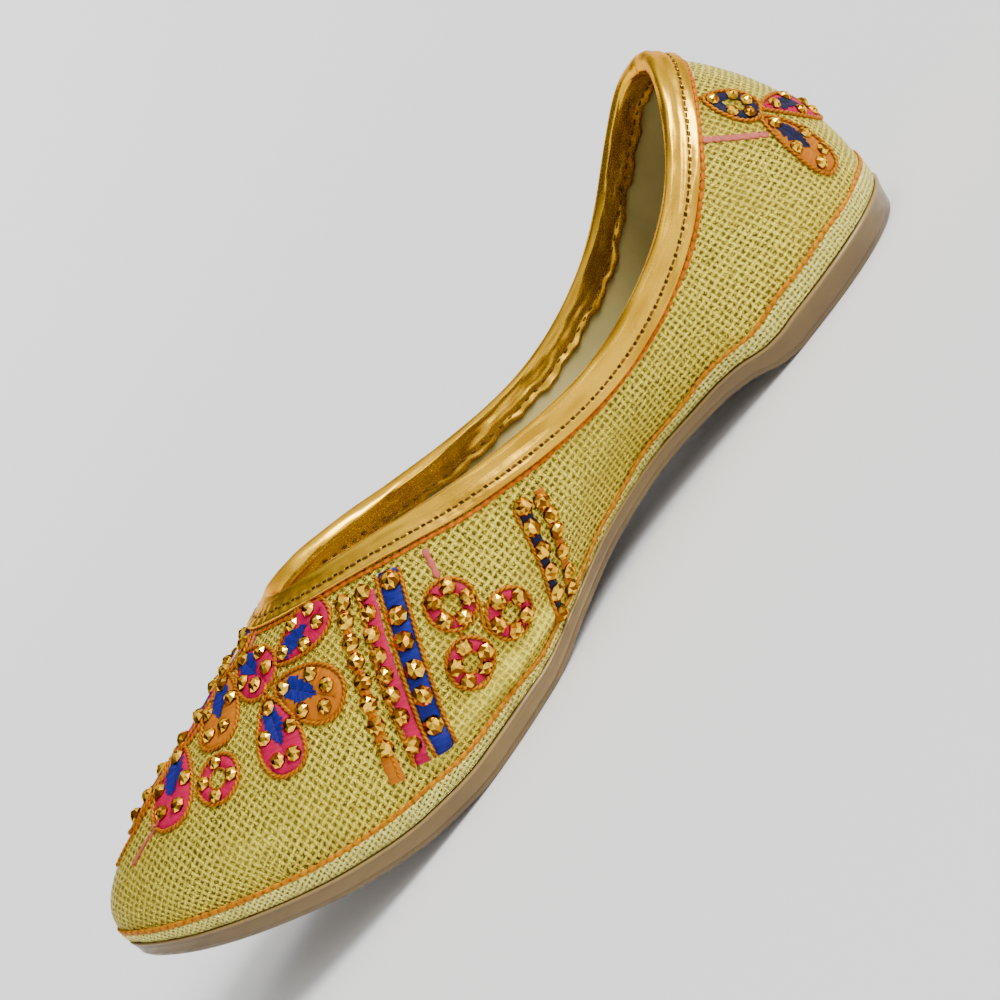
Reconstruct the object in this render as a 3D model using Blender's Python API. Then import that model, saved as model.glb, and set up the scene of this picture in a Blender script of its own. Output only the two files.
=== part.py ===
"""A mojari: a low slip-on shoe with a wide open collar, a blunt raised toe and a thin sole with a low heel.

This is the right shoe. The toe points along -Y and the medial side lies towards +X. The shoe stands
on the plane Z = 0, on its heel and on the ball of its sole, with the middle of its box at the origin.

The upper is one rib surface. A rib runs from the feather line, where the upper meets the sole, up to the
top line of the collar. Ribs are numbered by a share that is 0 at the back of the heel and 1 at the toe,
and every table below has one row for each of the same ribs.
"""
import bpy
import math
import numpy as np

MM = 0.001

# Overall form
LENGTH = 250 * MM              # of the sole, from its back to the tip of its toe
SOLE_BALL_WIDTH = 79 * MM
SOLE_HEEL_WIDTH = 63 * MM
SOLE_WAIST_WIDTH = 46 * MM
TIP_SHIFT = 3 * MM             # how far the toe's tip lies to the medial side
THROAT_SHIFT = 2 * MM          # how far the front of the collar lies to the lateral side

# Side view of the sole
TOE_SPRING = 32 * MM
ARCH_RISE = 7.5 * MM
HEEL_THICKNESS = 7.2 * MM
WAIST_THICKNESS = 3.8 * MM
FOREPART_THICKNESS = 5.2 * MM
EDGE_ROUND = 0.6 * MM          # rounding of the sole's upper edge
EDGE_BEVEL = 1.3 * MM          # bevel of the sole's lower edge
HEEL_TAPER = 2.2 * MM          # how far the heel draws in towards the floor

# Collar
COLLAR_BACK_GAP = 14 * MM      # the top line at the back stands this far ahead of the sole's back
COLLAR_LENGTH = 154.5 * MM
COLLAR_WIDTH = 72.5 * MM
COLLAR_BACK_HEIGHT = 66.5 * MM
COLLAR_DIP_HEIGHT = 37.5 * MM
THROAT_HEIGHT = 58.5 * MM

# Walls and trims
UPPER_WALL = 2.0 * MM
SOLE_REVEAL = 1.3 * MM         # the sole shows this far outside the feather line
BAND_PROUD = 0.7 * MM          # the edge band above the sole stands this far out of the wall
BAND_HEIGHT = 4.6 * MM
BAND_STEP = 0.5 * MM           # height over which the band drops back to the wall
BINDING_WIDTH = 8.5 * MM       # outside the collar
BINDING_INNER_WIDTH = 8.0 * MM
BINDING_THICKNESS = 1.0 * MM
INSOLE_THICKNESS = 2.0 * MM
CLEARANCE = 0.3 * MM           # between pieces that meet

# Corners, as shares of the thickness or bevel that they belong to
BEVEL_SWELL_IN = 0.35          # the middle of the sole's lower bevel, in from the side
BEVEL_SWELL_UP = 0.5
FOLD_SHOULDER_IN = 0.5         # where the binding turns over the top line
FOLD_SHOULDER_UP = 0.75

# How finely the curved pieces are divided
RIB_STEPS = 44                 # ribs on each side
WALL_STEPS = 9                 # rows between feather line and top line
BINDING_STEPS = 3
SOLE_ACROSS = 4                # strips across the sole and the insole
RIB_SAMPLES = 41               # points that measure a rib's length
SHARE_STEP = 1e-3              # step along a rib that gives its direction
SMOOTH_UP_TO = 35              # degrees between faces that shade as one surface

# Plan of the sole. along: share of LENGTH from the back. medial and lateral: shares of the width that
# the row follows.
SOLE_PLAN = [
    # rib, along, follows, medial, lateral
    (0.00, 0.000, SOLE_HEEL_WIDTH, 0.000, 0.000),
    (0.07, 0.026, SOLE_HEEL_WIDTH, 0.315, 0.310),
    (0.14, 0.090, SOLE_HEEL_WIDTH, 0.487, 0.483),
    (0.23, 0.195, SOLE_HEEL_WIDTH, 0.500, 0.505),
    (0.33, 0.305, SOLE_WAIST_WIDTH, 0.545, 0.562),
    (0.44, 0.425, SOLE_WAIST_WIDTH, 0.485, 0.515),
    (0.54, 0.530, SOLE_BALL_WIDTH, 0.370, 0.380),
    (0.62, 0.620, SOLE_BALL_WIDTH, 0.470, 0.472),
    (0.70, 0.710, SOLE_BALL_WIDTH, 0.502, 0.498),
    (0.79, 0.812, SOLE_BALL_WIDTH, 0.458, 0.464),
    (0.88, 0.908, SOLE_BALL_WIDTH, 0.335, 0.352),
    (0.95, 0.972, SOLE_BALL_WIDTH, 0.182, 0.195),
    (1.00, 1.000, SOLE_BALL_WIDTH, 0.000, 0.000),
]

# How the middle line of the shoe swings to the medial side in plan, as a share of TIP_SHIFT.
MIDDLE_LINE = [
    # along, share
    (0.00, 0.00),
    (0.50, 0.00),
    (0.66, 0.08),
    (0.80, 0.40),
    (0.92, 0.78),
    (1.00, 1.00),
]

# Side view of the sole's underside. The heel and the ball of the foot are flat on the floor.
SOLE_UNDERSIDE = [
    # along, share of ARCH_RISE, share of TOE_SPRING
    (0.000, 0.00, 0.000),
    (0.195, 0.00, 0.000),
    (0.215, 0.12, 0.000),
    (0.250, 0.62, 0.000),
    (0.285, 0.86, 0.000),
    (0.350, 1.00, 0.000),
    (0.430, 0.82, 0.000),
    (0.510, 0.40, 0.000),
    (0.585, 0.00, 0.000),
    (0.670, 0.00, 0.000),
    (0.740, 0.00, 0.065),
    (0.820, 0.00, 0.250),
    (0.900, 0.00, 0.530),
    (0.960, 0.00, 0.790),
    (1.000, 0.00, 1.000),
]

# Thickness of the sole's edge, as shares of the three named thicknesses.
SOLE_EDGE = [
    # along, heel, waist, forepart
    (0.000, 1.00, 0.00, 0.00),
    (0.180, 1.00, 0.00, 0.00),
    (0.250, 0.35, 0.65, 0.00),
    (0.320, 0.00, 1.00, 0.00),
    (0.500, 0.00, 1.00, 0.00),
    (0.620, 0.00, 0.10, 0.90),
    (0.720, 0.00, 0.00, 1.00),
    (1.000, 0.00, 0.00, 1.00),
]

# Top line. along: share of COLLAR_LENGTH from its back. medial and lateral: shares of COLLAR_WIDTH.
# rise: share of the height from the dip up to the back or, past the dip, up to the throat. swing:
# share of THROAT_SHIFT.
TOP_LINE = [
    # rib, along, medial, lateral, rise, swing
    (0.00, 0.000, 0.000, 0.000, 1.000, 0.0),
    (0.07, 0.032, 0.250, 0.248, 0.905, 0.0),
    (0.14, 0.123, 0.426, 0.424, 0.550, 0.0),
    (0.23, 0.252, 0.485, 0.483, 0.180, 0.0),
    (0.33, 0.414, 0.500, 0.500, 0.000, 0.0),
    (0.44, 0.582, 0.500, 0.500, 0.130, 0.1),
    (0.54, 0.741, 0.480, 0.484, 0.460, 0.3),
    (0.62, 0.854, 0.412, 0.414, 0.740, 0.6),
    (0.70, 0.938, 0.298, 0.298, 0.910, 0.9),
    (0.79, 0.982, 0.172, 0.172, 0.975, 1.0),
    (0.88, 0.997, 0.077, 0.077, 0.995, 1.0),
    (0.95, 1.000, 0.025, 0.025, 1.000, 1.0),
    (1.00, 1.000, 0.000, 0.000, 1.000, 1.0),
]
DIP_RIB = 0.33

# Section along each rib. foot_lean: angle above the floor at which the wall leaves the feather line.
# top_fall: angle below level at which it leaves the top line. Both reaches are shares of the straight
# distance between the two lines. band: share of BAND_HEIGHT.
SECTION = [
    # rib, foot_lean, foot_reach, top_fall, top_reach, band
    (0.00, 70, 0.36, 52, 0.33, 1.00),
    (0.07, 71, 0.36, 58, 0.33, 1.00),
    (0.14, 72, 0.36, 72, 0.33, 1.00),
    (0.23, 66, 0.38, 84, 0.34, 0.95),
    (0.33, 50, 0.42, 90, 0.34, 0.62),
    (0.44, 42, 0.44, 86, 0.36, 0.30),
    (0.54, 41, 0.49, 64, 0.38, 0.25),
    (0.62, 55, 0.42, 43, 0.34, 0.50),
    (0.70, 62, 0.38, 27, 0.36, 0.85),
    (0.79, 68, 0.35, 16, 0.42, 1.05),
    (0.88, 74, 0.29, 10, 0.50, 1.10),
    (0.95, 77, 0.24, 8, 0.54, 1.10),
    (1.00, 78, 0.22, 8, 0.55, 1.10),
]


# Curves through a table's rows

def column(table, index):
    return np.array([row[index] for row in table], dtype=float)


def monotone(keys, values, at):
    """Reads a smooth curve that never overshoots the table's values."""
    step = np.diff(keys)
    slope = np.diff(values) / step
    tangent = np.zeros(len(keys))
    for i in range(1, len(keys) - 1):
        if slope[i - 1] * slope[i] > 0:
            before, after = 2 * step[i] + step[i - 1], step[i] + 2 * step[i - 1]
            tangent[i] = (before + after) / (before / slope[i - 1] + after / slope[i])
    tangent[-1] = slope[-1]
    at = np.clip(at, keys[0], keys[-1])
    i = np.clip(np.searchsorted(keys, at, side="right") - 1, 0, len(keys) - 2)
    u = (at - keys[i]) / step[i]
    rise = u * u * (3 - 2 * u)
    lead = step[i] * (u ** 3 - 2 * u ** 2 + u) * tangent[i]
    trail = step[i] * (u ** 3 - u ** 2) * tangent[i + 1]
    return values[i] * (1 - rise) + values[i + 1] * rise + lead + trail


def loop_keys(table):
    """The table's ribs round the whole shoe: 0 to 1 on the medial side, then 1 to 2 back to the heel."""
    ribs = column(table, 0)
    return np.concatenate([ribs, 2 - ribs[-2::-1]])


def loop_values(medial, lateral):
    return np.concatenate([medial, lateral[-2::-1]])


def closed_spline(keys, values, at):
    """Reads a smooth closed curve through the rows; the last row repeats the first."""
    count = len(keys) - 1
    step = np.diff(keys)
    slope = np.diff(values) / step
    system = np.zeros((count, count))
    right = np.zeros(count)
    for i in range(count):
        before, after = step[i - 1], step[i]
        system[i, (i - 1) % count] += after
        system[i, i] += 2 * (before + after)
        system[i, (i + 1) % count] += before
        right[i] = 3 * (after * slope[i - 1] + before * slope[i])
    tangent = np.linalg.solve(system, right)
    tangent = np.append(tangent, tangent[0])
    at = np.mod(at, keys[-1])
    i = np.clip(np.searchsorted(keys, at, side="right") - 1, 0, count - 1)
    u = (at - keys[i]) / step[i]
    rise = u * u * (3 - 2 * u)
    lead = step[i] * (u ** 3 - 2 * u ** 2 + u) * tangent[i]
    trail = step[i] * (u ** 3 - u ** 2) * tangent[i + 1]
    return values[i] * (1 - rise) + values[i + 1] * rise + lead + trail


# The sole's side view and the shoe's middle line

def share_along(y):
    return 0.5 - y / LENGTH


def sole_underside(y):
    keys = column(SOLE_UNDERSIDE, 0)
    rise = column(SOLE_UNDERSIDE, 1) * ARCH_RISE + column(SOLE_UNDERSIDE, 2) * TOE_SPRING
    return monotone(keys, rise, share_along(y))


def sole_top(y):
    keys = column(SOLE_EDGE, 0)
    thickness = (column(SOLE_EDGE, 1) * HEEL_THICKNESS + column(SOLE_EDGE, 2) * WAIST_THICKNESS
                 + column(SOLE_EDGE, 3) * FOREPART_THICKNESS)
    return sole_underside(y) + monotone(keys, thickness, share_along(y))


def middle_line(along):
    keys = column(MIDDLE_LINE, 0)
    return monotone(keys, column(MIDDLE_LINE, 1) * TIP_SHIFT, along)


# Lines round the shoe

def loop_share(count=RIB_STEPS):
    """Ribs round the whole shoe, from the heel's back along the medial side."""
    return np.arange(2 * count) / count


def outward(points):
    """Level unit vectors that point out of a closed line, which runs with the inside on its right."""
    ahead = np.roll(points, -1, axis=0) - np.roll(points, 1, axis=0)
    normal = np.stack([-ahead[:, 1], ahead[:, 0], np.zeros(len(points))], axis=1)
    return normal / np.linalg.norm(normal, axis=1, keepdims=True)


def sole_line(ribs):
    """The outline of the sole, in plan at its upper edge."""
    keys = loop_keys(SOLE_PLAN)
    along = column(SOLE_PLAN, 1)
    follows = column(SOLE_PLAN, 2)
    middle = middle_line(along)
    medial = middle + column(SOLE_PLAN, 3) * follows
    lateral = middle - column(SOLE_PLAN, 4) * follows
    x = closed_spline(keys, loop_values(medial, lateral), ribs)
    y = LENGTH * (0.5 - closed_spline(keys, loop_values(along, along), ribs))
    return np.stack([x, y, sole_top(y)], axis=1)


def inset_line(points, distance):
    """A line drawn in from a closed line, kept on top of the sole."""
    moved = points - outward(points) * distance
    moved[:, 2] = sole_top(moved[:, 1])
    return moved


def top_line(ribs):
    """The edge of the collar."""
    keys = loop_keys(TOP_LINE)
    along = column(TOP_LINE, 1)
    y = LENGTH / 2 - COLLAR_BACK_GAP - COLLAR_LENGTH * along
    middle = -column(TOP_LINE, 5) * THROAT_SHIFT
    medial = middle + column(TOP_LINE, 2) * COLLAR_WIDTH
    lateral = middle - column(TOP_LINE, 3) * COLLAR_WIDTH
    end = np.where(column(TOP_LINE, 0) < DIP_RIB, COLLAR_BACK_HEIGHT, THROAT_HEIGHT)
    z = COLLAR_DIP_HEIGHT + column(TOP_LINE, 4) * (end - COLLAR_DIP_HEIGHT)
    return np.stack([closed_spline(keys, loop_values(medial, lateral), ribs),
                     closed_spline(keys, loop_values(y, y), ribs),
                     closed_spline(keys, loop_values(z, z), ribs)], axis=1)


def section_column(ribs, index):
    values = column(SECTION, index)
    return closed_spline(loop_keys(SECTION), loop_values(values, values), ribs)


# The surface of the upper

class UpperSurface:
    """The upper's outer face as one Bezier rib for each share, from feather line to top line."""

    def __init__(self, ribs):
        foot = inset_line(sole_line(ribs), SOLE_REVEAL)
        foot[:, 2] += CLEARANCE
        top = top_line(ribs)
        chord = np.linalg.norm(top - foot, axis=1)[:, None]
        up = np.array([0.0, 0.0, 1.0])
        lean = np.radians(section_column(ribs, 1))[:, None]
        fall = np.radians(section_column(ribs, 3))[:, None]
        leave = np.cos(lean) * outward(foot) + np.sin(lean) * up
        arrive = np.cos(fall) * outward(top) - np.sin(fall) * up
        self.points = [foot,
                       foot + leave * chord * section_column(ribs, 2)[:, None],
                       top + arrive * chord * section_column(ribs, 4)[:, None],
                       top]
        self.band = section_column(ribs, 5) * BAND_HEIGHT
        fine = self.at(np.tile(np.linspace(0, 1, RIB_SAMPLES)[:, None], (1, len(ribs))))
        self.length = np.linalg.norm(np.diff(fine, axis=0), axis=2).sum(axis=0)

    def at(self, s):
        """Points for a grid of shares: one line of the grid for each row, one entry for each rib."""
        s = s[:, :, None]
        a, b, c, d = self.points
        return (1 - s) ** 3 * a + 3 * (1 - s) ** 2 * s * b + 3 * (1 - s) * s ** 2 * c + s ** 3 * d

    def normal(self, s):
        """Unit vectors that point out of the shoe."""
        along = np.roll(self.at(s), -1, axis=1) - np.roll(self.at(s), 1, axis=1)
        climb = self.at(s + SHARE_STEP) - self.at(s - SHARE_STEP)
        normal = np.cross(climb, along)
        return normal / np.linalg.norm(normal, axis=2, keepdims=True)

    def climb(self, s):
        """Unit vectors up along the ribs."""
        climb = self.at(s + SHARE_STEP) - self.at(s - SHARE_STEP)
        return climb / np.linalg.norm(climb, axis=2, keepdims=True)

    def share_for(self, distance):
        """Share of each rib that lies a distance above the feather line."""
        return distance / self.length


# Meshes

def add_piece(name, vertices, faces, colour, roughness, metallic=0.0, coat=0.0):
    mesh = bpy.data.meshes.new(name)
    mesh.from_pydata([tuple(v) for v in vertices], [], faces)
    mesh.validate()
    mesh.shade_smooth()
    mesh.set_sharp_from_angle(angle=math.radians(SMOOTH_UP_TO))
    piece = bpy.data.objects.new(name, mesh)
    bpy.context.collection.objects.link(piece)
    material = bpy.data.materials.new(name)
    material.use_nodes = True
    shader = material.node_tree.nodes["Principled BSDF"]
    shader.inputs["Base Color"].default_value = (*colour, 1.0)
    shader.inputs["Roughness"].default_value = roughness
    shader.inputs["Metallic"].default_value = metallic
    shader.inputs["Coat Weight"].default_value = coat
    mesh.materials.append(material)
    return piece


def ring_faces(rings, ribs, closed):
    """Faces between rings of vertices that each run round the shoe."""
    faces = []
    for row in range(rings if closed else rings - 1):
        low, high = row * ribs, (row + 1) % rings * ribs
        for i in range(ribs):
            j = (i + 1) % ribs
            faces.append((low + i, low + j, high + j, high + i))
    return faces


def plate(edge, depth_at, first, flip):
    """A face across the shoe inside a closed edge, with its height from a function of y.

    The edge's vertices are numbered from first; the new vertices follow in the list that is returned.
    """
    ribs = len(edge)
    half = ribs // 2
    inner = []
    rows = []
    start = first + ribs
    for i in range(1, half):
        medial, lateral = edge[i], edge[ribs - i]
        row = [first + i]
        for k in range(1, SOLE_ACROSS):
            point = medial + (lateral - medial) * k / SOLE_ACROSS
            row.append(start + len(inner))
            inner.append((point[0], point[1], depth_at(point[1])))
        row.append(first + ribs - i)
        rows.append(row)
    faces = []
    for a, b in zip(rows[:-1], rows[1:]):
        faces += [(a[k], a[k + 1], b[k + 1], b[k]) for k in range(SOLE_ACROSS)]
    faces += [(first, rows[0][k + 1], rows[0][k]) for k in range(SOLE_ACROSS)]
    faces += [(first + half, rows[-1][k], rows[-1][k + 1]) for k in range(SOLE_ACROSS)]
    if flip:
        faces = [face[::-1] for face in faces]
    return inner, faces


def add_slab(name, rings, top_at, bottom_at, **finish):
    """A closed solid from rings round its side, lowest first, with a plate across each end."""
    ribs = len(rings[0])
    vertices = [point for ring in rings for point in ring]
    faces = ring_faces(len(rings), ribs, closed=False)
    faces = [face[::-1] for face in faces]
    bottom, bottom_faces = plate(rings[0], bottom_at, 0, flip=True)
    shift = len(vertices) - ribs
    vertices += bottom
    faces += [tuple(v if v < ribs else v + shift for v in face) for face in bottom_faces]
    last = (len(rings) - 1) * ribs
    top, top_faces = plate(rings[-1], top_at, 0, flip=False)
    shift = len(vertices) - ribs
    vertices += top
    faces += [tuple(v + last if v < ribs else v + shift for v in face) for face in top_faces]
    return add_piece(name, vertices, faces, **finish)


# The pieces of the shoe

def add_outsole():
    edge = sole_line(loop_share())
    out = outward(edge)
    heel = monotone(column(SOLE_EDGE, 0), column(SOLE_EDGE, 1), share_along(edge[:, 1]))
    taper = heel * HEEL_TAPER

    def ring(inset, height_at, lift):
        points = edge - out * (inset + np.zeros(len(edge)))[:, None]
        points[:, 2] = height_at(points[:, 1]) + lift
        return points

    rings = [ring(taper + EDGE_BEVEL, sole_underside, 0),
             ring(taper + BEVEL_SWELL_IN * EDGE_BEVEL, sole_underside, BEVEL_SWELL_UP * EDGE_BEVEL),
             ring(taper, sole_underside, EDGE_BEVEL),
             ring(0, sole_top, -EDGE_ROUND),
             ring(EDGE_ROUND, sole_top, 0)]
    return add_slab("outsole", rings, sole_top, sole_underside,
                    colour=(0.42, 0.27, 0.10), roughness=0.45)


def add_insole():
    ribs = loop_share()
    feather = inset_line(sole_line(ribs), SOLE_REVEAL)
    edge = inset_line(feather, UPPER_WALL + 2 * CLEARANCE)
    low, high = edge.copy(), edge.copy()
    low[:, 2] += CLEARANCE
    high[:, 2] += CLEARANCE + INSOLE_THICKNESS
    return add_slab("insole", [low, high],
                    lambda y: sole_top(y) + CLEARANCE + INSOLE_THICKNESS,
                    lambda y: sole_top(y) + CLEARANCE,
                    colour=(0.62, 0.47, 0.20), roughness=0.5, metallic=0.3)


def add_upper(surface):
    ribs = surface.points[0].shape[0]
    band_top = surface.share_for(surface.band)
    step_top = surface.share_for(surface.band + BAND_STEP)
    rows = [np.zeros(ribs), band_top, step_top]
    rows += [step_top + (1 - step_top) * k / WALL_STEPS for k in range(1, WALL_STEPS + 1)]
    s = np.array(rows)
    proud = np.zeros((len(rows), 1, 1))
    proud[:2] = BAND_PROUD
    outer = surface.at(s) + surface.normal(s) * proud
    inner_s = s[[0] + list(range(2, len(rows)))]
    inner = surface.at(inner_s) - surface.normal(inner_s) * UPPER_WALL
    for face in (outer, inner):
        face[0, :, 2] = sole_top(face[0, :, 1]) + CLEARANCE
    rings = np.concatenate([outer, inner[::-1]])
    faces = ring_faces(len(rings), ribs, closed=True)
    faces = [face[::-1] for face in faces]
    return add_piece("upper", rings.reshape(-1, 3), faces, colour=(0.45, 0.33, 0.12), roughness=0.4,
                     metallic=0.5)


def add_binding(surface):
    """A strip folded over the top line: one U-shaped profile, swept round the collar."""
    ribs = surface.points[0].shape[0]
    ones = np.ones((1, ribs))
    over = CLEARANCE + BINDING_THICKNESS
    beyond = UPPER_WALL / 2 + CLEARANCE

    def row(distance, offset, lift=0.0):
        s = ones - surface.share_for(distance)[None, :]
        point = surface.at(s) + surface.normal(s) * offset + surface.climb(s) * lift
        return point[0]

    outside = [BINDING_WIDTH * (1 - k / BINDING_STEPS) for k in range(BINDING_STEPS + 1)]
    inside = [BINDING_INNER_WIDTH * k / BINDING_STEPS for k in range(BINDING_STEPS + 1)]
    wall = -UPPER_WALL
    profile = [row(d, over) for d in outside]
    shoulder_in, shoulder_up = FOLD_SHOULDER_IN * beyond, FOLD_SHOULDER_UP * over
    profile += [row(0, over - shoulder_in, shoulder_up),
                row(0, wall / 2, over),
                row(0, wall - over + shoulder_in, shoulder_up)]
    profile += [row(d, wall - over) for d in inside]
    profile += [row(d, wall - CLEARANCE) for d in inside[::-1]]
    profile[-1] = row(0, wall - CLEARANCE, CLEARANCE)
    profile += [row(0, CLEARANCE, CLEARANCE)]
    profile += [row(d, CLEARANCE) for d in outside[-2::-1]]
    faces = ring_faces(len(profile), ribs, closed=True)
    faces = [face[::-1] for face in faces]
    return add_piece("collar_binding", np.array(profile).reshape(-1, 3), faces,
                     colour=(0.72, 0.50, 0.16), roughness=0.35, metallic=0.8)


def main():
    for old in list(bpy.data.objects):
        bpy.data.objects.remove(old, do_unlink=True)
    surface = UpperSurface(loop_share())
    pieces = [add_outsole(), add_insole(), add_upper(surface), add_binding(surface)]
    shoe = bpy.data.objects.new("shoe", None)
    bpy.context.collection.objects.link(shoe)
    corners = np.array([vertex.co for piece in pieces for vertex in piece.data.vertices])
    low, high = corners.min(axis=0), corners.max(axis=0)
    shoe.location = (-(low[0] + high[0]) / 2, -(low[1] + high[1]) / 2, -low[2])
    for piece in pieces:
        piece.parent = shoe


main()
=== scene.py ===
"""The looks of the mojari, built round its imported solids.

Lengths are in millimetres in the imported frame, and MM turns them into metres when a mesh is made.
The toe points along -Y, the medial side is +X, and a rib is a line on the upper from the sole to the
collar, numbered 0 at the heel, 1 at the toe and on to 2 back along the lateral side.
"""
import bpy
import math
import numpy as np
from mathutils import Matrix, Vector
from mathutils.bvhtree import BVHTree


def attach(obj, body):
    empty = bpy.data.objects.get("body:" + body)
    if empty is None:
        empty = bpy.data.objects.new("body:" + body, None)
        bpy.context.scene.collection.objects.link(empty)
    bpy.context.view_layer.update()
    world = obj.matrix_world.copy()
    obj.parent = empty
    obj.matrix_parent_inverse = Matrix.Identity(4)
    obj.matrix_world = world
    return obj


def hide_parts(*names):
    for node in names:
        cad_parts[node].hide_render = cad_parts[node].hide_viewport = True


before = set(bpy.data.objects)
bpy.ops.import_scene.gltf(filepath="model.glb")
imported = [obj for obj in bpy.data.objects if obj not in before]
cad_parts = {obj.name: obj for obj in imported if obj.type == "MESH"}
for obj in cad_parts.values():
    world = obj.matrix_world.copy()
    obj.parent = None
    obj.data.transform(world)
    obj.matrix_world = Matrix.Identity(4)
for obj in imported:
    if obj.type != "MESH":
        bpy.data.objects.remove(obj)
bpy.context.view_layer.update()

MM = 0.001
PLACE = np.array([0.117, -0.789, 0.0])
chance = np.random.default_rng(11)

# The form of the solids, with the same names and tables as in their source

LENGTH = 250.0
SOLE_BALL_WIDTH = 79.0
SOLE_HEEL_WIDTH = 63.0
SOLE_WAIST_WIDTH = 46.0
TIP_SHIFT = 3.0
THROAT_SHIFT = 2.0
TOE_SPRING = 32.0
ARCH_RISE = 7.5
HEEL_THICKNESS = 7.2
WAIST_THICKNESS = 3.8
FOREPART_THICKNESS = 5.2
HEEL_TAPER = 2.2
COLLAR_BACK_GAP = 14.0
COLLAR_LENGTH = 154.5
COLLAR_WIDTH = 72.5
COLLAR_BACK_HEIGHT = 66.5
COLLAR_DIP_HEIGHT = 37.5
THROAT_HEIGHT = 58.5
UPPER_WALL = 2.0
SOLE_REVEAL = 1.3
BAND_PROUD = 0.7
BAND_HEIGHT = 4.6
BINDING_WIDTH = 8.5
BINDING_INNER_WIDTH = 8.0
BINDING_THICKNESS = 1.0
INSOLE_THICKNESS = 2.0
CLEARANCE = 0.3
DIP_RIB = 0.33

SOLE_PLAN = np.array([
    # rib, along, width followed, medial, lateral
    (0.00, 0.000, SOLE_HEEL_WIDTH, 0.000, 0.000),
    (0.07, 0.026, SOLE_HEEL_WIDTH, 0.315, 0.310),
    (0.14, 0.090, SOLE_HEEL_WIDTH, 0.487, 0.483),
    (0.23, 0.195, SOLE_HEEL_WIDTH, 0.500, 0.505),
    (0.33, 0.305, SOLE_WAIST_WIDTH, 0.545, 0.562),
    (0.44, 0.425, SOLE_WAIST_WIDTH, 0.485, 0.515),
    (0.54, 0.530, SOLE_BALL_WIDTH, 0.370, 0.380),
    (0.62, 0.620, SOLE_BALL_WIDTH, 0.470, 0.472),
    (0.70, 0.710, SOLE_BALL_WIDTH, 0.502, 0.498),
    (0.79, 0.812, SOLE_BALL_WIDTH, 0.458, 0.464),
    (0.88, 0.908, SOLE_BALL_WIDTH, 0.335, 0.352),
    (0.95, 0.972, SOLE_BALL_WIDTH, 0.182, 0.195),
    (1.00, 1.000, SOLE_BALL_WIDTH, 0.000, 0.000),
])
MIDDLE_LINE = np.array([(0, 0), (0.5, 0), (0.66, 0.08), (0.80, 0.40), (0.92, 0.78), (1, 1)])
SOLE_UNDERSIDE = np.array([
    # along, share of ARCH_RISE, share of TOE_SPRING
    (0.000, 0.00, 0.000), (0.195, 0.00, 0.000), (0.215, 0.12, 0.000), (0.250, 0.62, 0.000),
    (0.285, 0.86, 0.000), (0.350, 1.00, 0.000), (0.430, 0.82, 0.000), (0.510, 0.40, 0.000),
    (0.585, 0.00, 0.000), (0.670, 0.00, 0.000), (0.740, 0.00, 0.065), (0.820, 0.00, 0.250),
    (0.900, 0.00, 0.530), (0.960, 0.00, 0.790), (1.000, 0.00, 1.000),
])
SOLE_EDGE = np.array([
    # along, heel, waist, forepart
    (0.000, 1.00, 0.00, 0.00), (0.180, 1.00, 0.00, 0.00), (0.250, 0.35, 0.65, 0.00),
    (0.320, 0.00, 1.00, 0.00), (0.500, 0.00, 1.00, 0.00), (0.620, 0.00, 0.10, 0.90),
    (0.720, 0.00, 0.00, 1.00), (1.000, 0.00, 0.00, 1.00),
])
TOP_LINE = np.array([
    # rib, along, medial, lateral, rise, swing
    (0.00, 0.000, 0.000, 0.000, 1.000, 0.0),
    (0.07, 0.032, 0.250, 0.248, 0.905, 0.0),
    (0.14, 0.123, 0.426, 0.424, 0.550, 0.0),
    (0.23, 0.252, 0.485, 0.483, 0.180, 0.0),
    (0.33, 0.414, 0.500, 0.500, 0.000, 0.0),
    (0.44, 0.582, 0.500, 0.500, 0.130, 0.1),
    (0.54, 0.741, 0.480, 0.484, 0.460, 0.3),
    (0.62, 0.854, 0.412, 0.414, 0.740, 0.6),
    (0.70, 0.938, 0.298, 0.298, 0.910, 0.9),
    (0.79, 0.982, 0.172, 0.172, 0.975, 1.0),
    (0.88, 0.997, 0.077, 0.077, 0.995, 1.0),
    (0.95, 1.000, 0.025, 0.025, 1.000, 1.0),
    (1.00, 1.000, 0.000, 0.000, 1.000, 1.0),
])
SECTION = np.array([
    # rib, foot_lean, foot_reach, top_fall, top_reach, band
    (0.00, 70, 0.36, 52, 0.33, 1.00),
    (0.07, 71, 0.36, 58, 0.33, 1.00),
    (0.14, 72, 0.36, 72, 0.33, 1.00),
    (0.23, 66, 0.38, 84, 0.34, 0.95),
    (0.33, 50, 0.42, 90, 0.34, 0.62),
    (0.44, 42, 0.44, 86, 0.36, 0.30),
    (0.54, 41, 0.49, 64, 0.38, 0.25),
    (0.62, 55, 0.42, 43, 0.34, 0.50),
    (0.70, 62, 0.38, 27, 0.36, 0.85),
    (0.79, 68, 0.35, 16, 0.42, 1.05),
    (0.88, 74, 0.29, 10, 0.50, 1.10),
    (0.95, 77, 0.24, 8, 0.54, 1.10),
    (1.00, 78, 0.22, 8, 0.55, 1.10),
])
UP = np.array([0.0, 0.0, 1.0])


def hermite(keys, values, tangent, at, i):
    step = keys[i + 1] - keys[i]
    u = (at - keys[i]) / step
    rise = u * u * (3 - 2 * u)
    lead = step * (u ** 3 - 2 * u ** 2 + u) * tangent[i]
    trail = step * (u ** 3 - u ** 2) * tangent[i + 1]
    return values[i] * (1 - rise) + values[i + 1] * rise + lead + trail


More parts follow.
